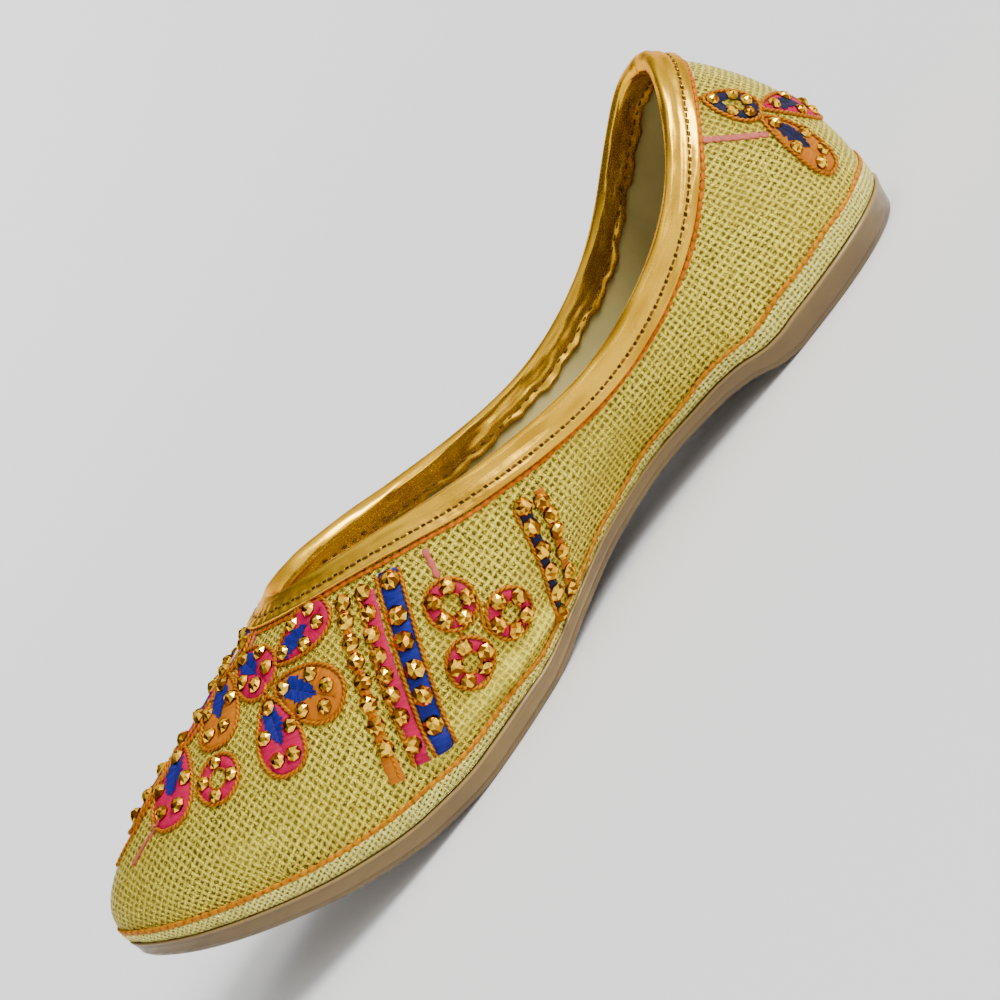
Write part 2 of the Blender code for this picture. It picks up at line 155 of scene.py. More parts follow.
def monotone(keys, values, at):
    step = np.diff(keys)
    slope = np.diff(values) / step
    tangent = np.zeros(len(keys))
    for i in range(1, len(keys) - 1):
        if slope[i - 1] * slope[i] > 0:
            before, after = 2 * step[i] + step[i - 1], step[i] + 2 * step[i - 1]
            tangent[i] = (before + after) / (before / slope[i - 1] + after / slope[i])
    tangent[-1] = slope[-1]
    at = np.clip(at, keys[0], keys[-1])
    i = np.clip(np.searchsorted(keys, at, side="right") - 1, 0, len(keys) - 2)
    return hermite(keys, values, tangent, at, i)


def closed_spline(keys, values, at):
    count = len(keys) - 1
    step = np.diff(keys)
    slope = np.diff(values) / step
    system = np.zeros((count, count))
    right = np.zeros(count)
    for i in range(count):
        before, after = step[i - 1], step[i]
        system[i, (i - 1) % count] += after
        system[i, i] += 2 * (before + after)
        system[i, (i + 1) % count] += before
        right[i] = 3 * (after * slope[i - 1] + before * slope[i])
    tangent = np.linalg.solve(system, right)
    tangent = np.append(tangent, tangent[0])
    at = np.mod(at, keys[-1])
    i = np.clip(np.searchsorted(keys, at, side="right") - 1, 0, count - 1)
    return hermite(keys, values, tangent, at, i)


def round_the_shoe(table, medial, lateral, ribs):
    keys = np.concatenate([table[:, 0], 2 - table[-2::-1, 0]])
    return closed_spline(keys, np.concatenate([medial, lateral[-2::-1]]), ribs)


def sole_underside(y):
    rise = SOLE_UNDERSIDE[:, 1] * ARCH_RISE + SOLE_UNDERSIDE[:, 2] * TOE_SPRING
    return monotone(SOLE_UNDERSIDE[:, 0], rise, 0.5 - (y - PLACE[1]) / LENGTH)


def sole_top(y):
    thickness = SOLE_EDGE[:, 1:] @ np.array([HEEL_THICKNESS, WAIST_THICKNESS, FOREPART_THICKNESS])
    return sole_underside(y) + monotone(SOLE_EDGE[:, 0], thickness, 0.5 - (y - PLACE[1]) / LENGTH)


def unit(v):
    return v / np.maximum(np.linalg.norm(v, axis=-1, keepdims=True), 1e-12)


def outward(points):
    ahead = np.roll(points, -1, axis=0) - np.roll(points, 1, axis=0)
    return unit(np.stack([-ahead[:, 1], ahead[:, 0], np.zeros(len(points))], axis=1))


def sole_line(ribs):
    along = SOLE_PLAN[:, 1]
    middle = monotone(MIDDLE_LINE[:, 0], MIDDLE_LINE[:, 1] * TIP_SHIFT, along)
    medial = middle + SOLE_PLAN[:, 3] * SOLE_PLAN[:, 2]
    lateral = middle - SOLE_PLAN[:, 4] * SOLE_PLAN[:, 2]
    x = round_the_shoe(SOLE_PLAN, medial, lateral, ribs) + PLACE[0]
    y = LENGTH * (0.5 - round_the_shoe(SOLE_PLAN, along, along, ribs)) + PLACE[1]
    return np.stack([x, y, sole_top(y)], axis=1)


def inset_line(points, distance):
    moved = points - outward(points) * distance
    moved[:, 2] = sole_top(moved[:, 1])
    return moved


def top_line(ribs):
    y = LENGTH / 2 - COLLAR_BACK_GAP - COLLAR_LENGTH * TOP_LINE[:, 1]
    middle = -TOP_LINE[:, 5] * THROAT_SHIFT
    end = np.where(TOP_LINE[:, 0] < DIP_RIB, COLLAR_BACK_HEIGHT, THROAT_HEIGHT)
    z = COLLAR_DIP_HEIGHT + TOP_LINE[:, 4] * (end - COLLAR_DIP_HEIGHT)
    x = round_the_shoe(TOP_LINE, middle + TOP_LINE[:, 2] * COLLAR_WIDTH,
                       middle - TOP_LINE[:, 3] * COLLAR_WIDTH, ribs)
    return np.stack([x, round_the_shoe(TOP_LINE, y, y, ribs),
                     round_the_shoe(TOP_LINE, z, z, ribs)], axis=1) + PLACE


class UpperSurface:
    """The upper's outer face: one Bezier rib for each share, from feather line to top line."""

    def __init__(self, ribs):
        def column(index):
            return round_the_shoe(SECTION, SECTION[:, index], SECTION[:, index], ribs)
        foot = inset_line(sole_line(ribs), SOLE_REVEAL)
        foot[:, 2] += CLEARANCE
        top = top_line(ribs)
        chord = np.linalg.norm(top - foot, axis=1)[:, None]
        lean = np.radians(column(1))[:, None]
        fall = np.radians(column(3))[:, None]
        leave = np.cos(lean) * outward(foot) + np.sin(lean) * UP
        arrive = np.cos(fall) * outward(top) - np.sin(fall) * UP
        self.ribs = ribs
        self.points = [foot, foot + leave * chord * column(2)[:, None],
                       top + arrive * chord * column(4)[:, None], top]
        self.band = column(5) * BAND_HEIGHT
        fine = self.at(np.tile(np.linspace(0, 1, 41)[:, None], (1, len(ribs))))
        self.length = np.linalg.norm(np.diff(fine, axis=0), axis=2).sum(axis=0)

    def at(self, s):
        s = s[:, :, None]
        a, b, c, d = self.points
        return (1 - s) ** 3 * a + 3 * (1 - s) ** 2 * s * b + 3 * (1 - s) * s ** 2 * c + s ** 3 * d

    def normal(self, s):
        along = np.roll(self.at(s), -1, axis=1) - np.roll(self.at(s), 1, axis=1)
        return unit(np.cross(self.at(s + 1e-3) - self.at(s - 1e-3), along))

    def climb(self, s):
        return unit(self.at(s + 1e-3) - self.at(s - 1e-3))


# Meshes

def grid_faces(rows, columns, closed=True, wrap=False, flip=False):
    """Quads of a grid: closed joins the last column to the first, wrap the last row to the first."""
    i = np.arange(rows if wrap else rows - 1)[:, None]
    j = np.arange(columns if closed else columns - 1)[None, :]
    k, l = (i + 1) % rows, (j + 1) % columns
    quads = np.stack([i * columns + j, i * columns + l, k * columns + l, k * columns + j], axis=-1)
    quads = quads.reshape(-1, 4)
    return quads[:, ::-1] if flip else quads


class Pile:
    """Collects many small forms for one mesh."""

    def __init__(self):
        self.points, self.faces, self.uv, self.count = [], [], [], 0

    def add(self, points, faces, uv=None):
        points = np.asarray(points, float).reshape(-1, 3)
        self.faces += [[int(i) + self.count for i in face] for face in faces]
        self.points.append(points)
        self.uv.append(np.zeros((len(points), 2)) if uv is None else np.asarray(uv, float).reshape(-1, 2))
        self.count += len(points)

    def make(self, name, material, slot, smooth=True, stands_for=()):
        mesh = bpy.data.meshes.new(name)
        mesh.from_pydata((np.concatenate(self.points) * MM).tolist(), [], self.faces)
        corner = np.empty(len(mesh.loops), np.int32)
        mesh.loops.foreach_get("vertex_index", corner)
        layer = mesh.uv_layers.new(name="cloth")
        layer.data.foreach_set("uv", np.concatenate(self.uv)[corner].astype(np.float32).ravel())
        if smooth:
            mesh.shade_smooth()
        mesh.materials.append(material)
        mesh.update()
        piece = bpy.data.objects.new(name, mesh)
        bpy.context.scene.collection.objects.link(piece)
        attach(piece, "root")
        if stands_for:
            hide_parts(*stands_for)
        return piece


def add_sheet(name, points, faces, material, slot, uv=None, stands_for=(), smooth=True):
    pile = Pile()
    pile.add(points, faces, uv)
    return pile.make(name, material, slot, smooth, stands_for)


# Materials

class Finish:
    """A Principled material and short ways to wire nodes to it."""

    def __init__(self, name, colour=(0.5, 0.5, 0.5), roughness=0.5, metallic=0.0, coat=0.0,
                 coat_roughness=0.1, sheen=0.0):
        self.material = bpy.data.materials.new(name)
        self.material.use_nodes = True
        self.tree = self.material.node_tree
        self.shader = self.tree.nodes["Principled BSDF"]
        self.set("Base Color", (*colour, 1.0))
        self.set("Roughness", roughness)
        self.set("Metallic", metallic)
        self.set("Coat Weight", coat)
        self.set("Coat Roughness", coat_roughness)
        self.set("Sheen Weight", sheen)

    def node(self, kind, inputs=None, **settings):
        made = self.tree.nodes.new(kind)
        for key, value in settings.items():
            setattr(made, key, value)
        for key, value in (inputs or {}).items():
            if isinstance(value, bpy.types.NodeSocket):
                self.tree.links.new(value, made.inputs[key])
            else:
                made.inputs[key].default_value = value
        return made

    def set(self, key, value):
        if isinstance(value, bpy.types.NodeSocket):
            self.tree.links.new(value, self.shader.inputs[key])
        else:
            self.shader.inputs[key].default_value = value

    def calc(self, operation, *values):
        return self.node("ShaderNodeMath", dict(enumerate(values)), operation=operation).outputs[0]

    def ramp(self, value, low, high, to_low=0.0, to_high=1.0):
        return self.node("ShaderNodeMapRange", {0: value, 1: low, 2: high, 3: to_low, 4: to_high},
                         interpolation_type="SMOOTHSTEP").outputs[0]

    def mix(self, share, first, second):
        made = self.node("ShaderNodeMix", data_type="RGBA")
        for index, value in ((0, share), (6, first), (7, second)):
            if isinstance(value, bpy.types.NodeSocket):
                self.tree.links.new(value, made.inputs[index])
            elif index == 0:
                made.inputs[index].default_value = value
            else:
                made.inputs[index].default_value = (*value, 1.0)
        return made.outputs[2]

    def place(self):
        """Where a point is on the object, in metres."""
        return self.node("ShaderNodeTexCoord").outputs["Object"]

    def cloth(self):
        """The two coordinates along the cloth, in millimetres."""
        made = self.node("ShaderNodeUVMap", uv_map="cloth")
        parts = self.node("ShaderNodeSeparateXYZ", {0: made.outputs[0]})
        return made.outputs[0], parts.outputs[0], parts.outputs[1]

    def noise(self, vector, scale, detail=3.0, roughness=0.55, colour=False):
        made = self.node("ShaderNodeTexNoise", {"Vector": vector, "Scale": scale, "Detail": detail,
                                                "Roughness": roughness})
        return made.outputs["Color" if colour else "Fac"]

    def bump(self, height, distance, strength=1.0, under=None):
        inputs = {"Height": height, "Distance": distance * MM, "Strength": strength}
        if under is not None:
            inputs["Normal"] = under
        return self.node("ShaderNodeBump", inputs).outputs[0]


def weave_finish(name, pitch, light, middle, dark, metallic, roughness, wobble=0.16, relief=0.32,
                 open_share=0.62, toe_painted_shade=0.0):
    """Open square mesh of metallic yarn over a darker ground, charted in the cloth's own coordinates."""
    f = Finish(name, roughness=roughness, metallic=metallic)
    f.set("Specular IOR Level", 0.3)
    f.set("Specular Tint", (1.0, 0.90, 0.60, 1.0))
    vector, u, v = f.cloth()
    shift = f.node("ShaderNodeSeparateXYZ", {0: f.noise(vector, 0.45, 3.0, 0.6, colour=True)})
    u = f.calc("MULTIPLY_ADD", shift.outputs[0], 6 * wobble, u)
    v = f.calc("MULTIPLY_ADD", shift.outputs[1], 6 * wobble, v)
    wave_u = f.calc("SINE", f.calc("MULTIPLY", u, math.pi / pitch))
    wave_v = f.calc("SINE", f.calc("MULTIPLY", v, math.pi / pitch))
    crossing = f.calc("MULTIPLY", wave_u, wave_v)
    size = f.node("ShaderNodeSeparateXYZ", {0: f.noise(vector, 0.9, 2.0, 0.6, colour=True)})
    bars = []
    for wave, way, lap in ((wave_u, 0, 0.16), (wave_v, 1, -0.16)):
        edge = f.ramp(size.outputs[way], 0.3, 0.7, open_share - 0.16, open_share + 0.14)
        bar = f.calc("DIVIDE", f.calc("SUBTRACT", f.calc("ABSOLUTE", wave), edge), 0.30)
        bars.append(f.calc("MAXIMUM", f.calc("MULTIPLY_ADD", crossing, lap, f.calc("MINIMUM", bar, 1.0)), 0.0))
    height = f.calc("SMOOTH_MAX", bars[0], bars[1], 0.15)
    fleck = f.noise(vector, 2.3, 3.0, 0.7)
    height = f.calc("MULTIPLY_ADD", f.calc("SUBTRACT", fleck, 0.5), 1.4, height)
    # The holes show the dark ground and the yarns are mid gold; the yarn crowns are painted pale gold as a painted
    # highlight.
    colour = f.mix(f.ramp(height, 0.05, 0.75), dark, middle)
    colour = f.mix(f.ramp(height, 0.80, 1.25), colour, light)
    glint = f.ramp(f.noise(vector, 2.6, 2.0, 0.7), 0.56, 0.61)
    colour = f.mix(glint, colour, light)
    dull = f.ramp(f.noise(vector, 0.7, 3.0, 0.7), 0.30, 0.48, 0.5, 0.0)
    colour = f.mix(dull, colour, dark)
    broad = f.noise(vector, 0.045, 2.0)
    colour = f.mix(f.ramp(broad, 0.35, 0.7, 0.0, 0.3), colour, middle)
    # Painted shade: the cloth is mixed towards its dark tone near the toe tip, by the share given.
    if toe_painted_shade:
        from_toe = f.node("ShaderNodeSeparateXYZ", {0: f.place()}).outputs[1]
        colour = f.mix(f.ramp(from_toe, -0.118, -0.055, toe_painted_shade, 0.0), colour, dark)
    # Painted highlight: the cloth is mixed towards its pale tone along the listed streaks.
    painted_highlight = f.node("ShaderNodeAttribute", attribute_name="painted_highlight").outputs["Fac"]
    colour = f.mix(f.calc("MULTIPLY", painted_highlight, f.ramp(height, -0.4, 0.7, 0.35, 0.9)), colour, light)
    f.set("Base Color", colour)
    shine = f.ramp(height, 0.2, 1.3, roughness + 0.2, roughness - 0.06)
    f.set("Roughness", f.calc("MULTIPLY_ADD", glint, -0.15, shine))
    f.set("Metallic", f.calc("MULTIPLY_ADD", glint, 1.0 - metallic, metallic))
    twist = f.bump(f.noise(vector, 5.0, 2.0, 0.6), 0.10, 0.8)
    f.set("Normal", f.bump(height, relief, 1.0, twist))
    return f.material


def satin_finish(name, colour, shade):
    """Floss laid in threads: paler and darker strands with a low sheen."""
    f = Finish(name, roughness=0.55)
    f.set("Specular IOR Level", 0.12)
    vector, u, v = f.cloth()
    strand = f.node("ShaderNodeCombineXYZ", {0: u, 1: f.calc("MULTIPLY", v, 0.18)}).outputs[0]
    tone = f.noise(strand, 1.6, 3.0)
    f.set("Base Color", f.mix(f.ramp(tone, 0.3, 0.7), shade, colour))
    f.set("Normal", f.bump(f.noise(strand, 6.0, 2.0), 0.06, 0.6))
    return f.material


def gold_leather_finish():
    """Foiled leather: soft folds along the collar, fine grain and needle holes at each stitch."""
    f = Finish("gold_leather", roughness=0.26, metallic=0.92)
    f.set("Specular Tint", (1.0, 0.62, 0.16, 1.0))
    vector, u, v = f.cloth()
    along = f.node("ShaderNodeCombineXYZ", {0: f.calc("MULTIPLY", u, 0.25), 1: v}).outputs[0]
    folds = f.noise(along, 0.22, 1.5, 0.5)
    grain = f.noise(vector, 1.3, 2.0)
    hole = f.calc("ABSOLUTE", f.calc("SINE", f.calc("MULTIPLY", u, math.pi / STITCH_PITCH)))
    near = f.calc("ABSOLUTE", f.calc("SUBTRACT", v, STITCH_LINE))
    hole = f.calc("MULTIPLY", f.ramp(hole, 0.30, 0.62, 1.0, 0.0), f.ramp(near, 0.22, 0.52, 1.0, 0.0))
    # Painted shade and highlight: the gold is darker in the fold troughs and paler on their crests, from the same
    # noise as the fold bump.
    gold = f.mix(f.ramp(folds, 0.30, 0.62), (0.50, 0.255, 0.010), (0.76, 0.43, 0.024))
    worn = f.ramp(f.noise(vector, 0.10, 4.0, 0.65), 0.60, 0.70, 0.0, 0.3)
    gold = f.mix(worn, gold, (0.38, 0.18, 0.012))
    # Painted shade: the needle holes are painted nearly black.
    f.set("Base Color", f.mix(hole, gold, (0.04, 0.022, 0.006)))
    f.set("Roughness", f.ramp(grain, 0.3, 0.7, 0.24, 0.30))
    dents = f.bump(f.calc("MULTIPLY", hole, -1.0), 0.3, 0.8)
    f.set("Normal", f.bump(grain, 0.015, 0.3, f.bump(folds, 1.6, 0.8, dents)))
    return f.material


def plain_finish(name, colour, shade, roughness, scale, relief, specular=0.5, **others):
    """A cut or moulded material with slow changes of tone and fine relief, charted in its own space."""
    f = Finish(name, roughness=roughness, **others)
    f.set("Specular IOR Level", specular)
    where = f.place()
    tone = f.noise(where, scale, 4.0)
    f.set("Base Color", f.mix(f.ramp(tone, 0.3, 0.7), shade, colour))
    f.set("Normal", f.bump(f.noise(where, scale * 12, 3.0), relief, 0.5))
    return f.material


def sole_finish():
    """Moulded tan sole: slow tone, a painted highlight along its top edge, rubbed marks along it and a scuffed
    lower edge.
    """
    f = Finish("tan_gold_sole", roughness=0.36, coat=0.12)
    where = f.place()
    colour = f.mix(f.ramp(f.noise(where, 30, 4.0), 0.3, 0.7), (0.085, 0.048, 0.011), (0.125, 0.074, 0.018))
    share = f.cloth()[2]
    # Painted highlight: a paler line along the top edge of the sole.
    colour = f.mix(f.ramp(share, 0.80, 0.96, 0.0, 0.55), colour, (0.30, 0.19, 0.055))
    rub = f.noise(f.node("ShaderNodeVectorMath", {0: where, 1: (1.0, 0.25, 2.5)}, operation="MULTIPLY").outputs[0],
                  260, 3.0)
    low = f.ramp(share, 0.05, 0.35, 0.65, 0.15)
    colour = f.mix(f.calc("MULTIPLY", f.ramp(rub, 0.52, 0.66), low), colour, (0.060, 0.042, 0.018))
    f.set("Base Color", colour)
    f.set("Roughness", f.ramp(rub, 0.4, 0.65, 0.33, 0.5))
    f.set("Normal", f.bump(f.noise(where, 360, 3.0), 0.10, 0.5))
    return f.material


def cord_finish(name, high, low, metallic=0.3):
    """Twisted strands and chain loops, with painted shade where the strands meet and where the loops join."""
    f = Finish(name, roughness=0.45, metallic=metallic)
    f.set("Specular IOR Level", 0.15)
    f.set("Specular Tint", (1.0, 0.6, 0.2, 1.0))
    strand = f.cloth()[2]
    tone = f.noise(f.place(), 900, 3.0)
    # Painted shade: darker where the second cloth coordinate is low.
    colour = f.mix(f.ramp(strand, 0.05, 0.75), low, high)
    f.set("Base Color", f.mix(f.ramp(tone, 0.35, 0.7, 0.0, 0.45), colour, low))
    f.set("Normal", f.bump(f.noise(f.place(), 5000, 2.0), 0.05, 0.5))
    return f.material


def stud_finish():
    """Gold facets, each painted a random depth of tone as a painted reflection, with painted shade at the foot of
    the stud.
    """
    f = Finish("gold_stud", roughness=0.14, metallic=1.0)
    f.set("Specular Tint", (1.0, 0.66, 0.16, 1.0))
    tone, height = f.cloth()[1:]
    # Painted reflection: each facet's random tone sets it from dark brown to bright gold.
    gold = f.mix(f.ramp(tone, 0.15, 0.85), (0.17, 0.050, 0.001), (1.0, 0.58, 0.035))
    # Painted shade: the foot of the stud is darkened.
    f.set("Base Color", f.mix(f.ramp(height, 0.0, 0.35), (0.07, 0.02, 0.001), gold))
    return f.material


STITCH_PITCH = 3.1
STITCH_LINE = 4.4
GOLD_CLOTH = weave_finish("gold_mesh_cloth", 1.6, (1.0, 0.86, 0.085), (0.50, 0.365, 0.022),
                          (0.070, 0.047, 0.0045), 0.45, 0.34, relief=0.42, toe_painted_shade=0.27)
EDGE_CLOTH = weave_finish("pale_edge_cloth", 1.2, (1.0, 0.92, 0.26), (0.42, 0.35, 0.045),
                          (0.10, 0.075, 0.006), 0.45, 0.34, relief=0.24, open_share=0.50)
INSOLE_CLOTH = weave_finish("insole_mesh_cloth", 1.15, (1.0, 0.78, 0.10), (0.19, 0.125, 0.010),
                            (0.05, 0.03, 0.003), 0.5, 0.32, relief=0.25, open_share=0.45)
# The lining's cream is set darker and more olive than the cloth itself: partly its own colour, partly painted
# shade for the inside of the shoe.
LINING = plain_finish("cream_lining", (0.43, 0.355, 0.115), (0.34, 0.275, 0.08), 0.7, 40, 0.12)
GOLD_LEATHER = gold_leather_finish()
SOLE = sole_finish()
PINK = satin_finish("pink_satin_thread", (0.42, 0.0005, 0.050), (0.28, 0.0005, 0.032))
ORANGE = satin_finish("orange_satin_thread", (0.41, 0.122, 0.0002), (0.31, 0.078, 0.0002))
BLUE = satin_finish("blue_satin_thread", (0.008, 0.012, 0.19), (0.004, 0.004, 0.085))
NAVY = satin_finish("navy_satin_thread", (0.007, 0.007, 0.042), (0.004, 0.004, 0.018))
CORD = cord_finish("orange_gold_cord", (0.46, 0.15, 0.001), (0.10, 0.020, 0.001))
CHAIN = cord_finish("rust_chain_thread", (0.48, 0.115, 0.002), (0.15, 0.024, 0.001), 0.15)
EDGE_CHAIN = cord_finish("orange_edge_thread", (0.52, 0.19, 0.004), (0.13, 0.028, 0.001), 0.25)
FLOSS = plain_finish("pink_basting_thread", (0.42, 0.07, 0.04), (0.30, 0.035, 0.02), 0.6, 700, 0.05)
DARK_THREAD = plain_finish("navy_edge_thread", (0.02, 0.024, 0.05), (0.06, 0.06, 0.075), 0.5, 500, 0.05)
TAN_THREAD = plain_finish("tan_thread", (0.30, 0.17, 0.035), (0.15, 0.075, 0.014), 0.5, 900, 0.05)
BROWN_THREAD = plain_finish("brown_thread", (0.15, 0.072, 0.011), (0.06, 0.028, 0.005), 0.7, 900, 0.05, 0.15)
BEAD = stud_finish()
GLASS = plain_finish("grey_mirror", (0.34, 0.35, 0.37), (0.16, 0.17, 0.19), 0.10, 160, 0.3, metallic=0.9)

# The upper, its lining and its surface for laying things on

RIBS = 230
ribs = np.arange(2 * RIBS) / RIBS
surface = UpperSurface(ribs)
BAND_ROWS = 6
STEP_ROWS = 4
STEP_HEIGHT = 1.0
WALL_ROWS = 64


def wall_shares():
    band = surface.band / surface.length
    step = STEP_HEIGHT / surface.length
    rows = [band * k / BAND_ROWS for k in range(BAND_ROWS)]
    rows += [band + step * k / STEP_ROWS for k in range(STEP_ROWS + 1)]
    start = band + step
    rows += [start + (1 - start) * k / WALL_ROWS for k in range(1, WALL_ROWS + 1)]
    proud = [BAND_PROUD] * BAND_ROWS
    proud += [BAND_PROUD * (1 + math.cos(math.pi * k / STEP_ROWS)) / 2 for k in range(STEP_ROWS + 1)]
    proud += [0.0] * WALL_ROWS
    return np.array(rows), np.array(proud)[:, None]


# Soft troughs and ridges in the cloth: start, end, half width and depth (below 0 is a ridge)
CREASES = [
    ((33.6, -9.0, 11.1), (38.6, -26.0, 11.6), 1.9, -1.55),
    ((38.6, -26.0, 11.6), (42.2, -49.0, 16.3), 2.0, -1.50),
    ((33.0, -8.0, 15.4), (40.5, -28.0, 16.4), 2.6, 1.15),
    ((40.5, -28.0, 16.4), (42.6, -46.0, 21.0), 2.6, 0.95),
    ((31.0, 8.0, 13.0), (26.0, 34.0, 16.0), 3.6, 0.45),
    ((33.0, 16.0, 22.0), (31.0, 44.0, 27.0), 4.2, -0.35),
    ((30.5, 52.0, 24.0), (31.5, 76.0, 18.0), 4.0, 0.35),
    ((29.0, 84.0, 40.0), (23.0, 106.0, 28.0), 4.5, 0.30),
    ((-30.0, 10.0, 14.0), (-25.0, 36.0, 15.0), 3.6, 0.45),
    ((-35.0, -6.0, 12.0), (-41.0, -38.0, 14.5), 2.2, -0.50),
    ((-33.0, 18.0, 24.0), (-31.0, 46.0, 26.0), 4.2, -0.35),
    ((-30.0, 84.0, 38.0), (-22.0, 107.0, 27.0), 4.5, 0.30),
    ((5.7, -111.4, 49.0), (24.1, -99.8, 40.0), 2.4, 0.25),
    ((24.1, -99.8, 40.0), (32.6, -87.4, 32.7), 2.6, 0.22),
    ((-12.0, -108.0, 47.0), (-29.0, -94.0, 35.0), 2.6, 0.25),
    ((16.0, -104.0, 38.0), (30.0, -88.0, 26.0), 3.0, -0.20),
    ((36.0, -70.0, 32.0), (28.0, -78.0, 41.0), 3.5, 0.22),
    ((-36.0, -68.0, 32.0), (-28.0, -80.0, 41.0), 3.5, 0.22),
]


def crease_depth(points):
    depth = np.zeros(points.shape[:-1])
    for start, end, half, deep in CREASES:
        a, b = np.array(start, float), np.array(end, float)
        along = np.clip(((points - a) @ (b - a)) / ((b - a) @ (b - a)), 0, 1)
        away = np.linalg.norm(points - (a + along[..., None] * (b - a)), axis=-1)
        depth += deep * np.exp(-(away / half) ** 2)
    y, z = points[..., 1], points[..., 2]
    depth += 0.16 * np.sin(y / 7.1 + 1.3 * np.sin(z / 9)) * np.sin(z / 6.3 + 0.8 * np.sin(y / 11))
    return depth


# Painted highlight streaks along the cloth's ridges that face the light: start, end, half width and share
PAINTED_HIGHLIGHT_LINES = [
    ((33.6, -3.0, 11.0), (38.6, -24.0, 12.6), 1.9, 0.75),
    ((38.6, -24.0, 12.6), (42.2, -50.0, 14.6), 2.2, 0.75),
    ((27.5, 18.0, 11.5), (33.6, -3.0, 11.0), 1.5, 0.45),
    ((-35.0, -6.0, 12.0), (-41.0, -44.0, 14.5), 2.0, 0.60),
    ((34.0, -84.0, 30.0), (18.0, -108.0, 38.0), 2.6, 0.25),
]


def near_lines(points, lines):
    """The share that each line in a table gives to points around it, and their sum."""
    total = np.zeros(points.shape[:-1])
    for start, end, half, share in lines:
        a, b = np.array(start, float), np.array(end, float)
        along = np.clip(((points - a) @ (b - a)) / ((b - a) @ (b - a)), 0, 1)
        away = np.linalg.norm(points - (a + along[..., None] * (b - a)), axis=-1)
        total += share * np.exp(-(away / half) ** 2)
    return total


def painted_highlight_share(points):
    return np.clip(near_lines(points, PAINTED_HIGHLIGHT_LINES), 0, 1)


shares, proud = wall_shares()
foot = surface.points[0]
round_foot = np.cumsum(np.linalg.norm(np.roll(foot, -1, axis=0) - foot, axis=1))
pucker = (np.sin(round_foot / 0.83 + 1.6 * np.sin(round_foot / 6.1))
          + 0.8 * np.sin(round_foot / 1.37 + 2.0 * np.sin(round_foot / 9.7)))
for row, share in enumerate((0.3, 0.7, 1.0, 1.0, 0.9, 0.7, 0.4)):
    proud = np.broadcast_to(proud, shares.shape).copy()
    proud[row] += 0.11 * share * pucker
normals = surface.normal(shares)
skin = surface.at(shares)
skin = skin + normals * (proud - crease_depth(skin))[:, :, None]
skin[0, :, 2] = sole_top(skin[0, :, 1]) + CLEARANCE
skin_faces = grid_faces(len(shares), len(ribs), flip=True)


class Ground:
    """A shaped surface that threads, cords and studs are laid on."""

    def __init__(self, points, faces):
        self.tree = BVHTree.FromPolygons(points.reshape(-1, 3).tolist(), [list(face) for face in faces])

    def cast(self, start, direction):
        hit, normal, _, _ = self.tree.ray_cast(Vector(start), Vector(direction).normalized())
        return self.near(start) if hit is None else (np.array(hit), np.array(normal))

    def near(self, point):
        hit, normal, _, _ = self.tree.find_nearest(Vector(point))
        return np.array(hit), np.array(normal)

    def top(self, x, y):
        return self.cast((x, y, 200), (0, 0, -1))

    def side(self, y, z, sign=1):
        return self.cast((200 * sign, y, z), (-sign, 0, 0))


ground = Ground(skin, skin_faces)


